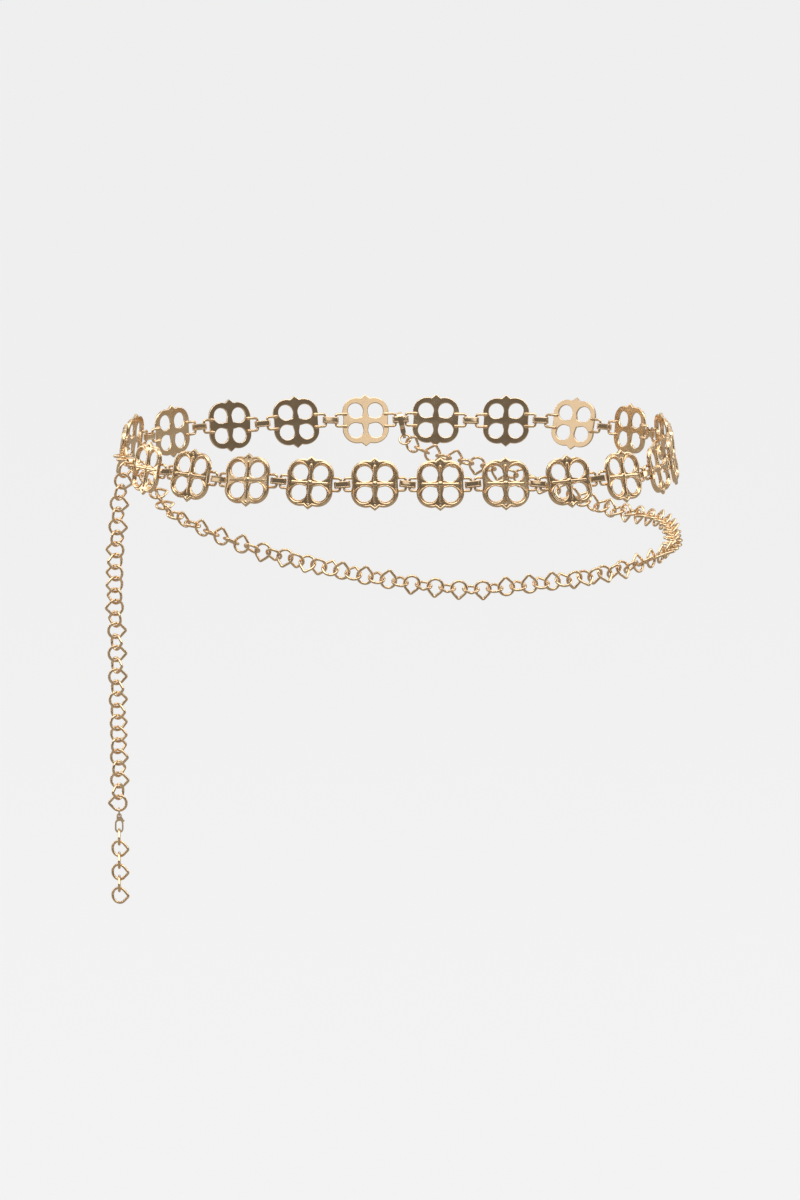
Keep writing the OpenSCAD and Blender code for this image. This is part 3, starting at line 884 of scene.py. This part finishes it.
@dataclass
class Connector:
    """A strip folded round two neighbouring staple bars."""

    gap: float = 5.9
    wire: float = 1.5
    play: float = 0.3
    thickness: float = 0.55
    height: float = 3.4
    edge_r: float = 0.12
    fold_share: float = 0.92
    bead_r: float = 0.26
    bead_proud: float = 0.06
    bead_from_edge: float = 0.1
    fold_steps: int = 6
    bead_sides: int = 10

    def band(self, grow: float) -> list[Vector]:
        """Gives the strip's line round both bars, larger by grow on every side."""
        long = (self.gap + self.wire + 2 * self.play) / 2 + grow
        deep = (self.wire + 2 * self.play) / 2 + grow
        r = deep * self.fold_share
        out = []
        for x, y, start in ((1, 1, 0), (-1, 1, 90), (-1, -1, 180), (1, -1, 270)):
            out += arc(Vector((x * (long - r), y * (deep - r), 0)), r, start, start + 90, self.fold_steps)
        return out

    def mesh(self, finishes: Finishes) -> bpy.types.Mesh:
        """Builds one strip, its height along Y.

        Args:
            finishes: The materials.

        Returns:
            The mesh, in metres.
        """
        shape = Shape()
        stand = Matrix.Rotation(math.radians(90), 4, "X")
        band = Shape()
        half = self.height / 2
        outlines = [self.band(self.thickness), self.band(0)[::-1]]
        band.plate(outlines, -half, half, self.edge_r, self.edge_r)
        band.slots = [Slot.POLISHED.value] * len(band.slots)
        shape.take(band, stand)
        bead = Shape()
        line = self.band(self.thickness - self.bead_r + self.bead_proud)
        for lift in (-1, 1):
            raised = [p + UP * lift * (half - self.bead_r - self.bead_from_edge) for p in line]
            bead.tube(raised, [self.bead_r] * len(line), closed=True, sides=self.bead_sides)
        shape.take(bead, stand)
        mesh = shape.mesh("connector")
        finishes.dress(mesh)
        return mesh


@dataclass
class WornLoop:
    """The line that the belt follows round the waist, and what is threaded on it."""

    medallion: Medallion = field(default_factory=Medallion)
    medallion_count: int = 23
    front_count: int = 11
    # Gap between two staple bars in a strip where the belt is drawn tight and where it is slack, the
    # medallion after which it tightens and over how many
    gap_tight: float = 5.9
    gap_slack: float = 2.1
    tighten_after: int = 9
    tighten_over: int = 4
    # The loop's form: its depth to its width, how square its corners are, how far its left end is
    # drawn out, and where along it the first medallion lies
    depth_share: float = 0.9
    squareness: float = 2.64
    draw_out: float = 0.238
    start_share: float = 0.073
    # Inward leans at the front, the sides and the back, and how the medallions wander, in degrees
    lean_front: float = 17
    lean_side: float = 9
    lean_back: float = -19
    roll_wander: float = 2
    roll_step: float = 150
    # Half of the stretch over which the loop's bearing is taken, and the points that draw it
    reach: float = 3
    steps: int = 360

    def settle(self, closing: float) -> None:
        """Works out the loop's size from all that it is made of.

        Args:
            closing: Distance between the two bars that the clasp joins.
        """
        unit = Route([self.unit_point(180 + 360 * i / self.steps) for i in range(self.steps + 1)])
        self.length = self.sum_pitches(self.medallion_count - 1) + closing + 2 * self.medallion.bar_reach
        self.size = self.length / unit.length
        self.line = Route([p * self.size for p in unit.points])
        self.half_depth = self.size * self.depth_share

    def unit_point(self, degrees: float) -> Vector:
        """Gives a point of the loop at unit size."""
        def corner(v: float) -> float:
            """Pushes a circle's co-ordinate out towards a square's."""
            return math.copysign(abs(v) ** (2 / self.squareness), v)

        x = corner(math.cos(math.radians(degrees)))
        y = corner(math.sin(math.radians(degrees)))
        drawn = x * (1 + self.draw_out * ((1 - x) / 2) ** 3) + self.draw_out / 2
        return Vector((drawn, self.depth_share * y, 0))

    def tightness(self, i: int) -> float:
        """Tells how tightly the belt is drawn after a medallion, from 0 to 1."""
        return min(1.0, max(0.0, (i - self.tighten_after) / self.tighten_over))

    def sum_pitches(self, i: int) -> float:
        """Adds up the distances between the first medallions."""
        reach = 2 * self.medallion.bar_reach + self.gap_slack
        more = self.gap_tight - self.gap_slack
        return sum(reach + self.tightness(k) * more for k in range(1, i + 1))

    def place(self, s: float) -> Vector:
        """Gives the loop's point at a running length."""
        return self.line.place(s % self.length)

    def heading(self, s: float) -> float:
        """Gives the loop's bearing at a running length."""
        return bearing(self.place(s + self.reach) - self.place(s - self.reach))

    def lean(self, s: float) -> float:
        """Gives the inward lean at a running length."""
        y = self.place(s).y / self.half_depth
        end = self.lean_front if y < 0 else self.lean_back
        return self.lean_side + y * y * (end - self.lean_side)

    def at(self, i: int) -> float:
        """Gives a medallion's running length."""
        return self.start_share * self.length + self.sum_pitches(i - 1)

    def medallion_frame(self, i: int) -> Matrix:
        """Gives a medallion's matrix, in millimetres."""
        s = self.at(i)
        turns = [
            Matrix.Rotation(math.radians(a), 4, axis)
            for a, axis in (
                (self.heading(s), "Z"),
                (90 - self.lean(s), "X"),
                (self.roll_wander * math.sin(math.radians(self.roll_step * i)), "Z"),
            )
        ]
        return Matrix.Translation(self.place(s)) @ turns[0] @ turns[1] @ turns[2]

    def bar(self, i: int, side: Side) -> Vector:
        """Gives the middle of one of a medallion's staple bars."""
        reach = Vector((side.value * self.medallion.bar_reach, 0, self.medallion.bar_z))
        return self.medallion_frame(i) @ reach

    def strip_middle(self, i: int) -> Vector:
        """Gives the middle of the strip after a medallion."""
        return (self.bar(i, Side.RIGHT) + self.bar(i + 1, Side.LEFT)) / 2

    def strip_way(self, i: int) -> Vector:
        """Gives the way of the strip after a medallion."""
        return (self.bar(i + 1, Side.LEFT) - self.bar(i, Side.RIGHT)).normalized()

    def strip_lean(self, i: int) -> float:
        """Gives the lean of the strip after a medallion."""
        return (self.lean(self.at(i)) + self.lean(self.at(i + 1))) / 2

    def strip_frame(self, i: int) -> Matrix:
        """Gives the matrix of the strip after a medallion, in millimetres."""
        way = self.strip_way(i)
        turn = Matrix.Rotation(math.radians(bearing(way)), 4, "Z")
        dip = Matrix.Rotation(-math.asin(way.z), 4, "Y")
        stand = Matrix.Rotation(math.radians(90 - self.strip_lean(i)), 4, "X")
        return Matrix.Translation(self.strip_middle(i)) @ turn @ dip @ stand


# The chains


@dataclass
class Link:
    """A pear-shaped link of round wire: a round side and one soft corner."""

    wire: float = 1.5
    r: float = 4.15
    corner: float = 5.8
    corner_bend: float = 0.9
    play: float = 0.25
    turn: float = 64
    # The fine seam where the wire closes: half its width, in degrees, and its depth
    seam: float = 1.2
    seam_depth: float = 0.07
    side_steps: int = 16
    corner_steps: int = 7

    @property
    def pitch(self) -> float:
        """Distance from one link to the next."""
        return 2 * self.r - self.wire - self.play

    def shape(self) -> Shape:
        """Models the link in XY, its corner towards +Y and its seam opposite."""
        half = math.degrees(math.asin(self.r / self.corner))
        top = Vector((0, self.corner - self.corner_bend / math.sin(math.radians(half)), 0))
        path = [
            *arc(Vector(), self.r, -90 + self.seam, half, self.side_steps),
            *arc(top, self.corner_bend, half, 180 - half, self.corner_steps),
            *arc(Vector(), self.r, 180 - half, 270 - self.seam, self.side_steps),
            Vector((0, -self.r, 0)),
        ]
        radii = [self.wire / 2] * len(path)
        radii[-1] -= self.seam_depth
        shape = Shape()
        shape.tube(path, radii, closed=True)
        return shape


@dataclass
class Ring:
    """A round ring of wire with a fine seam."""

    r: float
    wire: float
    seam: float = 1.2
    seam_depth: float = 0.06
    steps: int = 46
    sides: int = 18

    def shape(self) -> Shape:
        """Models the ring in XY."""
        round_it = arc(Vector(), self.r, self.seam, 360 - self.seam, self.steps)
        path = [*round_it, Vector((self.r, 0, 0))]
        radii = [self.wire / 2] * len(path)
        radii[-1] -= self.seam_depth
        shape = Shape()
        shape.tube(path, radii, closed=True, sides=self.sides)
        return shape


def threaded(shape: Shape, places: list[Matrix]) -> Shape:
    """Repeats a link at each of its places."""
    out = Shape()
    for place in places:
        out.take(shape, place)
    return out


@dataclass
class ClaspSizes:
    """Sizes of a lobster clasp, hook to +X and tail to -X."""

    hook_w: float = 4.2
    hook_run: float = 4
    pin_d: float = 0.9
    eye_d: float = 2
    thickness: float = 2.8
    neck: float = 0.4
    hub_wall: float = 0.6
    ear_wall: float = 0.35
    small_share: float = 0.72

    @property
    def hook_in_r(self) -> float:
        """Radius inside the hook."""
        return self.hook_w / 2

    @property
    def hub_r(self) -> float:
        """Radius of the lever's hub."""
        return self.pin_d / 2 + self.hub_wall

    @property
    def eye_x(self) -> float:
        """Place of the hole in the tail."""
        pivot_x = -self.hook_in_r - self.hub_r
        return pivot_x - (self.hub_r + self.ear_wall) - self.neck - self.eye_d / 2

    def seat_x(self, ring: Ring, play: float) -> float:
        """Gives the place of a ring's wire that lies in the hook's end."""
        inner = ring.r - ring.wire / 2
        sag = inner - math.sqrt(inner**2 - self.thickness**2 / 4)
        return self.hook_run + self.hook_in_r - ring.wire / 2 - play - sag


@dataclass
class Chains:
    """The links that close the belt, the swag and the tassel, and the rings between them."""

    loop: WornLoop
    link: Link = field(default_factory=Link)
    belt_ring: Ring = field(default_factory=lambda: Ring(4.3, 1.3))
    swag_ring: Ring = field(default_factory=lambda: Ring(4.2, 1.3))
    jump_ring: Ring = field(default_factory=lambda: Ring(3.1, 1.1))
    clasp: ClaspSizes = field(default_factory=ClaspSizes)
    strip: Connector = field(default_factory=Connector)
    clasp_links: int = 3
    end_links: int = 6
    # Turns of the links about their chains, in degrees: the swag's mean and how far it twists to each
    # side in its waves, the tassel's twist and its step, and the links in a row that keep their corners
    # on one side
    swag_turn: float = 14
    swag_twist: float = 58
    swag_waves: float = 1.5
    tassel_twist: float = 24
    tassel_step: float = 14
    stretch: int = 7
    # How the swag's jump ring hangs from its clasp: its share outwards and its turn, in degrees
    jump_out: float = 0.41
    jump_turn: float = 37
    # How far the swag lies outside the belt at first and inside it at last
    swag_outset: float = 2
    swag_inset: float = 8
    # Where the swag and the tassel leave the belt's ring and how they lean, in degrees
    swag_bearing: float = -42
    swag_slope: float = 42
    tassel_bearing: float = 210
    swag_clasp_lean: float = 12
    # Lengths of the swag's line that run straight on from its ring and to its jump ring
    swag_joins: tuple[float, float] = (15, 8)
    # Share of the belt's length at which the swag starts to cross to the belt's inside, and over which
    swag_crossing: tuple[float, float] = (0.46, 0.16)
    # Which strip the swag's clasp holds, counted back from the last medallion
    hooked_from_end: int = 6
    # The swag's line: shares of the belt's length, each with the height there
    swag_points: tuple[tuple[float, float], ...] = (
        (0.098, -22), (0.118, -27.5), (0.146, -35), (0.184, -42.5), (0.213, -48.4), (0.25, -54),
        (0.293, -57.7), (0.324, -56), (0.36, -53.3), (0.396, -50.3), (0.43, -48.4), (0.465, -47.2),
        (0.5, -45.2), (0.54, -43.8), (0.58, -44.6), (0.61, -44.8), (0.628, -42), (0.65, -37),
        (0.67, -31.8), (0.69, -27), (0.71, -23),
    )
    # The tassel's line below its top: how far to the right, and how far up
    tassel_points: tuple[tuple[float, float], ...] = (
        (-1.6, -9), (-3.8, -19), (-4.6, -32), (-5.6, -60), (-5.4, -100), (-4.6, -150), (-4, -196),
    )

    def __post_init__(self) -> None:
        """Works out the places of all the chains."""
        self.close_belt()
        self.hang_swag()
        self.hang_tassel()

    def close_belt(self) -> None:
        """Lines up the links, the clasp and the ring that close the belt."""
        bar = self.loop.medallion.staple_wire
        link, ring = self.link, self.belt_ring
        self.first_link_at = link.r - link.wire / 2 - bar / 2 - link.play
        self.eye_at = self.first_link_at + (self.clasp_links - 1) * link.pitch + link.r
        span = self.clasp.seat_x(ring, link.play) - self.clasp.eye_x
        ring_at = self.eye_at + span + ring.r
        self.closing = ring_at + ring.r - ring.wire / 2 - bar / 2 - link.play
        self.loop.settle(self.closing)
        self.close_from = self.loop.bar(self.loop.medallion_count, Side.RIGHT)
        self.close_to = self.loop.bar(1, Side.LEFT)
        self.close_way = (self.close_to - self.close_from).normalized()
        self.ring_c = self.close_place(ring_at)

    def close_place(self, d: float) -> Vector:
        """Gives a point on the line on which the belt closes."""
        stretch = (self.close_to - self.close_from).length / self.closing
        return self.close_from + self.close_way * d * stretch

    @property
    def hooked_strip(self) -> int:
        """Number of the strip that the swag's clasp holds."""
        return self.loop.medallion_count - self.hooked_from_end

    def hooked_way(self, v: Vector) -> Vector:
        """Turns a vector from the directions of the strip that the swag's clasp holds."""
        i = self.hooked_strip
        stood = turned(v, "X", 90 - self.loop.strip_lean(i))
        return turned(stood, "Z", bearing(self.loop.strip_way(i)))

    def swag_side(self, share: float) -> float:
        """Tells how far outside the belt the swag lies, less than 0 inside it."""
        start, over = self.swag_crossing
        t = min(1.0, max(0.0, (share - start) / over))
        return self.swag_outset - (self.swag_outset + self.swag_inset) * t * t * (3 - 2 * t)

    def swag_point(self, share: float, height: float) -> Vector:
        """Gives one of the swag's chosen points."""
        s = share * self.loop.length
        out = level(self.loop.heading(s) - 90)
        return self.loop.place(s) + self.swag_side(share) * out + UP * height

    def hang_swag(self) -> None:
        """Draws the swag's line and works out where its clasp and links go."""
        lean = math.radians(self.swag_clasp_lean)
        strip_d = self.strip.wire + 2 * self.strip.play + 2 * self.strip.thickness
        seat = (
            self.clasp.hook_run
            + math.sqrt(self.clasp.hook_in_r**2 - strip_d**2 / 4)
            - self.strip.height / 2 / math.cos(lean)
            - self.clasp.thickness / 2 * math.tan(lean)
            - self.link.play
        )
        self.swag_up = self.hooked_way(Vector((math.sin(lean), math.cos(lean), 0)))
        hooked = self.loop.strip_middle(self.hooked_strip)
        eye = hooked - self.swag_up * seat + self.swag_up * self.clasp.eye_x
        start = self.ring_c + self.belt_ring.r * level(self.swag_bearing)
        slope = math.radians(self.swag_slope)
        leave = math.cos(slope) * level(self.swag_bearing) - UP * math.sin(slope)
        link, ring, jump = self.link, self.swag_ring, self.jump_ring
        self.eye_axis = self.hooked_way(Vector((math.cos(lean), -math.sin(lean), 0)))
        self.jump_way = (self.swag_up + self.jump_out * self.hooked_way(UP)).normalized()
        self.jump_c = eye - jump.r * self.jump_way
        turn = math.radians(self.jump_turn)
        lead = math.cos(turn) * self.jump_way + math.sin(turn) * self.eye_axis
        chosen = [self.swag_point(*p) for p in self.swag_points]
        self.swag = Route(smooth([
            start, start + self.swag_joins[0] * leave, *chosen,
            self.jump_c - self.swag_joins[1] * lead, self.jump_c,
        ]))
        self.swag_ring_at = ring.r - (ring.wire + self.belt_ring.wire) / 2 - link.play
        self.swag_first = self.swag_ring_at + ring.r + link.r - (ring.wire + link.wire) / 2 - link.play
        last = self.swag.length - jump.r - link.r + (jump.wire + link.wire) / 2 + link.play
        self.swag_steps = math.ceil((last - self.swag_first) / link.pitch)
        self.swag_pitch = (last - self.swag_first) / self.swag_steps

    def to_and_fro(self, k: int) -> float:
        """Gives the turn that a link and its neighbours take to opposite sides."""
        return self.link.turn / 2 * (1 if k % 2 == 0 else -1)

    def swag_roll(self, k: int) -> float:
        """Gives a swag link's turn about the chain."""
        wave = math.cos(math.radians(360 * self.swag_waves * k / self.swag_steps))
        flip = 180 if k // self.stretch % 2 == 0 else 0
        return self.swag_turn + self.swag_twist * wave + self.to_and_fro(k) + flip

    def swag_places(self, first: int, last: int) -> list[Matrix]:
        """Gives the places of a run of swag links."""
        return [
            self.swag.frame(
                self.swag_first + k * self.swag_pitch, self.link.pitch / 2, UP, self.swag_roll(k)
            )
            for k in range(first, last + 1)
        ]

    def hang_tassel(self) -> None:
        """Draws the tassel's line and works out where its links, ring and clasp go."""
        top = self.ring_c + self.belt_ring.r * level(self.tassel_bearing)
        below = [top + Vector((x, 0, z)) for x, z in self.tassel_points]
        self.tassel = Route(smooth([top, *below]))
        link, share = self.link, self.clasp.small_share
        self.small_ring = Ring(share * self.jump_ring.r, share * self.jump_ring.wire)
        self.tassel_first = link.r - (link.wire + self.belt_ring.wire) / 2 - link.play
        self.small_ring_at = self.tassel.length - self.small_ring.r
        met = (self.small_ring.wire + link.wire) / 2 + link.play
        last = self.small_ring_at - self.small_ring.r - link.r + met
        self.tassel_steps = math.ceil((last - self.tassel_first) / link.pitch)
        self.tassel_pitch = (last - self.tassel_first) / self.tassel_steps
        eye = self.tassel.points[-1]
        seat = self.clasp.hook_run + self.clasp.hook_in_r - (link.wire / 2 + link.play) / share
        self.end_top = eye + UP * (share * (self.clasp.eye_x - seat) - link.r)

    def tassel_roll(self, k: int) -> float:
        """Gives a tassel link's turn about the chain."""
        flip = 180 if k // self.stretch % 3 == 1 else 0
        wave = self.tassel_twist * math.cos(math.radians(self.tassel_step * (self.tassel_steps - k)))
        return flip - self.to_and_fro(k) + math.copysign(wave, wave * self.to_and_fro(self.tassel_steps))

    def tassel_places(self) -> list[Matrix]:
        """Gives the places of the tassel's links."""
        return [
            self.tassel.frame(
                self.tassel_first + k * self.tassel_pitch, self.link.pitch / 2, RIGHT, self.tassel_roll(k)
            )
            for k in range(self.tassel_steps + 1)
        ]

    def end_places(self) -> list[Matrix]:
        """Gives the places of the links below the small clasp."""
        return [
            lay(self.end_top - UP * k * self.link.pitch, -UP, RIGHT, 90 - k % 2 * self.link.turn)
            for k in range(self.end_links)
        ]

    def clasp_places(self) -> list[Matrix]:
        """Gives the places of the links between the belt and its clasp."""
        at = [self.first_link_at + k * self.link.pitch for k in range(self.clasp_links)]
        return [
            lay(self.close_place(d), self.close_way, UP, 90 * (k % 2 == 0)) for k, d in enumerate(at)
        ]

    def build(self, finishes: Finishes) -> None:
        """Builds every chain and ring.

        Args:
            finishes: The materials.
        """
        link = self.link.shape()
        half = self.swag_steps // 2
        runs = {
            "clasp_chain": threaded(link, self.clasp_places()),
            "swag_front": threaded(link, self.swag_places(0, half)),
            "swag_back": threaded(link, self.swag_places(half + 1, self.swag_steps)),
            "tassel_chain": threaded(link, self.tassel_places()),
            "tassel_end": threaded(link, self.end_places()),
        }
        swag_ring = self.swag.frame(self.swag_ring_at, self.swag_ring.r / 2, UP, 0)
        jump_ring = lay(self.jump_c, self.jump_way, self.eye_axis, 0)
        small_ring = self.tassel.frame(self.small_ring_at, self.small_ring.r / 2, RIGHT, 90)
        runs["belt_ring"] = threaded(self.belt_ring.shape(), [Matrix.Translation(self.ring_c)])
        runs["swag_ring"] = threaded(self.swag_ring.shape(), [swag_ring])
        runs["swag_jump_ring"] = threaded(self.jump_ring.shape(), [jump_ring])
        runs["tassel_ring"] = threaded(self.small_ring.shape(), [small_ring])
        for node, shape in runs.items():
            mesh = shape.mesh(node)
            finishes.dress(mesh)
            set_out(f"dressed_{node}", mesh, None, node)


# The clasps


class Clasps:
    """The three lobster clasps and their levers, rounded as castings are."""

    CLASPS = {"waist_clasp": BODY, "swag_clasp": BODY, "tassel_clasp": BODY}
    LEVERS = {
        "waist_clasp_lever": "waist_lever",
        "swag_clasp_lever": "swag_lever",
        "tassel_clasp_lever": "tassel_lever",
    }
    # Rounding of a clasp's edges and of a lever's, in millimetres
    CLASP_R, LEVER_R = 0.22, 0.16
    # Angles, in degrees: below which faces are one, and over which an edge is rounded or stays sharp
    FLAT, EDGE, CREASE = 1, 40, 50
    SEGMENTS = 3

    def rounded(self, node: str, radius: float) -> bpy.types.Mesh:
        """Rounds a copy of a solid's edges.

        Args:
            node: The solid.
            radius: Radius of the rounding, in millimetres.

        Returns:
            The mesh, in metres.
        """
        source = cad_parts[node]
        copy = bpy.data.objects.new(f"copy_{node}", source.data.copy())
        bpy.context.scene.collection.objects.link(copy)
        flatten = copy.modifiers.new("flatten", "DECIMATE")
        flatten.decimate_type = "DISSOLVE"
        flatten.angle_limit = math.radians(self.FLAT)
        soften = copy.modifiers.new("soften", "BEVEL")
        soften.width = radius * MM
        soften.segments = self.SEGMENTS
        soften.limit_method = "ANGLE"
        soften.angle_limit = math.radians(self.EDGE)
        soften.harden_normals = False
        graph = bpy.context.evaluated_depsgraph_get()
        mesh = bpy.data.meshes.new_from_object(copy.evaluated_get(graph))
        bpy.data.objects.remove(copy)
        mesh.shade_smooth()
        mesh.set_sharp_from_angle(angle=math.radians(self.CREASE))
        return mesh

    def build(self, finishes: Finishes) -> None:
        """Builds the clasps and levers.

        Args:
            finishes: The materials.
        """
        for node, body in {**self.CLASPS, **self.LEVERS}.items():
            mesh = self.rounded(node, self.CLASP_R if node in self.CLASPS else self.LEVER_R)
            mesh.materials.clear()
            mesh.materials.append(finishes.polished)
            set_out(f"dressed_{node}", mesh, None, node, body)


# The studio


@dataclass
class Studio:
    """Pale floor, soft boxes and the camera, in metres."""

    floor_z: float = -0.45
    floor_half: float = 30.0
    floor_colour: tuple[float, float, float] = (0.04, 0.04, 0.04)
    floor_shade: float = 0.98
    floor_roughness: float = 0.9
    floor_glow: float = 0.81
    # What the camera and the metal see of the floor's glow
    seen: tuple[float, float, float] = (1.0, 1.0, 1.0)
    mirrored: tuple[float, float, float] = (0.40, 0.38, 0.35)
    # The room's own light at its darkest and lightest; by axis, where it starts to lighten, where it
    # stops, and how far it gets
    room_dark: tuple[float, float, float] = (0.165, 0.16, 0.155)
    room_light: tuple[float, float, float] = (1.05, 1.04, 1.02)
    room_falls: tuple[tuple[str, float, float, float], ...] = (
        ("Z", 0.5, 0.85, 0.8),
        ("Y", -0.15, 0.7, 0.22),
    )
    # The camera: where it looks, how high it stands, in degrees, and its distance and framing
    aim: tuple[float, float, float] = (0.0014, 0.0, -0.0832)
    elevation: float = 9.0
    distance: float = 8.0
    frame_height: float = 0.666
    film_height: float = 36.0
    sight: float = 100.0
    # What the soft boxes look at
    middle: tuple[float, float, float] = (0.0, 0.0, -0.03)
    # Name, bearing from the camera's side and height in degrees, distance, width and height, brightness
    boxes: tuple[tuple[str, float, float, float, tuple[float, float], float], ...] = (
        ("top", 10, 74, 2.2, (2.4, 0.9), 2.6),
        ("left", -112, 26, 2.2, (0.8, 2.2), 2.0),
        ("right", 108, 26, 2.2, (0.8, 2.2), 2.0),
        ("back", 172, 34, 2.4, (2.2, 0.7), 1.2),
        ("front left", -52, 14, 2.6, (0.5, 0.8), 0.78),
        ("front high", 12, 31, 2.6, (0.36, 0.8), 0.85),
        ("front top", -16, 54, 2.6, (1.1, 0.4), 2.0),
        ("high strip", 6, 45, 2.5, (2.4, 0.13), 3.5),
        ("left strip", -86, 22, 2.4, (0.13, 1.8), 3.5),
        ("right strip", 92, 22, 2.4, (0.13, 1.8), 3.2),
    )

    def pale(self) -> bpy.types.Material:
        """Makes the floor's soft pale finish, which glows a little so that it stays even.

        Returns:
            The material.
        """
        material = bpy.data.materials.new("pale floor")
        material.use_nodes = True
        nodes = Nodes(material.node_tree)
        surface = material.node_tree.nodes["Principled BSDF"]
        grain = nodes.add("ShaderNodeTexNoise", Scale=3.0, Detail=2.0)
        tone = nodes.add("ShaderNodeMix", data_type="RGBA")
        tone.inputs[MIX_A].default_value = (*[c * self.floor_shade for c in self.floor_colour], 1)
        tone.inputs[MIX_B].default_value = (*self.floor_colour, 1)
        nodes.link(grain.outputs["Fac"], tone.inputs[0])
        nodes.link(tone.outputs[MIX_RESULT], surface.inputs["Base Color"])
        surface.inputs["Roughness"].default_value = self.floor_roughness
        rays = nodes.add("ShaderNodeLightPath")
        shine = nodes.add("ShaderNodeMix", data_type="RGBA")
        shine.inputs[MIX_A].default_value = (*self.mirrored, 1)
        shine.inputs[MIX_B].default_value = (*self.seen, 1)
        nodes.link(rays.outputs["Is Camera Ray"], shine.inputs[0])
        nodes.link(shine.outputs[MIX_RESULT], surface.inputs["Emission Color"])
        surface.inputs["Emission Strength"].default_value = self.floor_glow
        return material

    def floor(self) -> None:
        """Lays the floor."""
        mesh = bpy.data.meshes.new("studio_floor")
        w = self.floor_half
        mesh.from_pydata([(-w, -w, 0), (w, -w, 0), (w, w, 0), (-w, w, 0)], [], [(0, 1, 2, 3)])
        mesh.materials.append(self.pale())
        floor = bpy.data.objects.new("studio_floor", mesh)
        floor.location.z = self.floor_z
        bpy.context.scene.collection.objects.link(floor)

    def soft_box(self, name: str, at: Vector, size: tuple[float, float], radiance: float) -> None:
        """Hangs one soft box that looks at the piece.

        Args:
            name: Its name.
            at: Its place.
            size: Its width and height.
            radiance: How bright its face is, where a lit white wall is 1.
        """
        light = bpy.data.lights.new(name, "AREA")
        light.shape = "RECTANGLE"
        light.size, light.size_y = size
        light.energy = radiance * math.pi * size[0] * size[1]
        box = bpy.data.objects.new(name, light)
        box.location = at
        box.rotation_euler = (Vector(self.middle) - at).to_track_quat("-Z", "Y").to_euler()
        box.visible_camera = False
        bpy.context.scene.collection.objects.link(box)

    def lights(self) -> None:
        """Hangs the soft boxes and sets the room's own light."""
        for name, bearing_deg, height_deg, away, size, radiance in self.boxes:
            turn, lift = math.radians(bearing_deg), math.radians(height_deg)
            way = Vector((
                math.sin(turn) * math.cos(lift), -math.cos(turn) * math.cos(lift), math.sin(lift),
            ))
            self.soft_box(name, Vector(self.middle) + away * way, size, radiance)
        world = bpy.data.worlds.new("studio room")
        bpy.context.scene.world = world
        world.use_nodes = True
        nodes = Nodes(world.node_tree)
        room = world.node_tree.nodes["Background"]
        where = nodes.add("ShaderNodeTexCoord")
        split = nodes.add("ShaderNodeSeparateXYZ")
        nodes.link(where.outputs["Generated"], split.inputs[0])
        both = nodes.add("ShaderNodeMath", operation="MAXIMUM")
        for i, (axis, low, high, top) in enumerate(self.room_falls):
            spread = nodes.add("ShaderNodeMapRange", interpolation_type="SMOOTHSTEP")
            spread.inputs["From Min"].default_value = low
            spread.inputs["From Max"].default_value = high
            spread.inputs["To Max"].default_value = top
            nodes.link(split.outputs[axis], spread.inputs["Value"])
            nodes.link(spread.outputs["Result"], both.inputs[i])
        fall = nodes.add("ShaderNodeValToRGB")
        fall.color_ramp.elements[0].color = (*self.room_dark, 1)
        fall.color_ramp.elements[1].color = (*self.room_light, 1)
        nodes.link(both.outputs[0], fall.inputs["Fac"])
        nodes.link(fall.outputs["Color"], room.inputs["Color"])
        room.inputs["Strength"].default_value = 1.0

    def camera(self) -> None:
        """Sets up the camera at the photograph's angle, far off with a long lens."""
        camera = bpy.data.cameras.new("camera")
        camera.sensor_fit = "VERTICAL"
        camera.sensor_height = self.film_height
        camera.lens = self.film_height * self.distance / self.frame_height
        camera.clip_end = self.sight
        holder = bpy.data.objects.new("camera", camera)
        back = turned(Vector((0, -1, 0)), "X", -self.elevation)
        holder.location = Vector(self.aim) + self.distance * back
        holder.rotation_euler = (-back).to_track_quat("-Z", "Y").to_euler()
        bpy.context.scene.collection.objects.link(holder)
        bpy.context.scene.camera = holder

    def build(self) -> None:
        """Sets the whole studio."""
        self.floor()
        self.lights()
        self.camera()
        view = bpy.context.scene.view_settings
        view.view_transform = "Standard"
        view.look = "None"


def main() -> None:
    logging.basicConfig(level=logging.INFO, format="%(name)s: %(message)s")
    finishes = Finishes()
    loop = WornLoop()
    chains = Chains(loop)
    medallion = loop.medallion.mesh(finishes)
    for i in range(1, loop.medallion_count + 1):
        node = f"medallion_{i:02d}"
        set_out(f"dressed_{node}", medallion, loop.medallion_frame(i), node)
    strip = chains.strip.mesh(finishes)
    for i in range(1, loop.medallion_count):
        node = "front_connectors" if i <= loop.front_count else "back_connectors"
        set_out(f"dressed_{node}_{i:02d}", strip, loop.strip_frame(i), node)
    chains.build(finishes)
    Clasps().build(finishes)
    Studio().build()


if __name__ == "__main__":
    main()
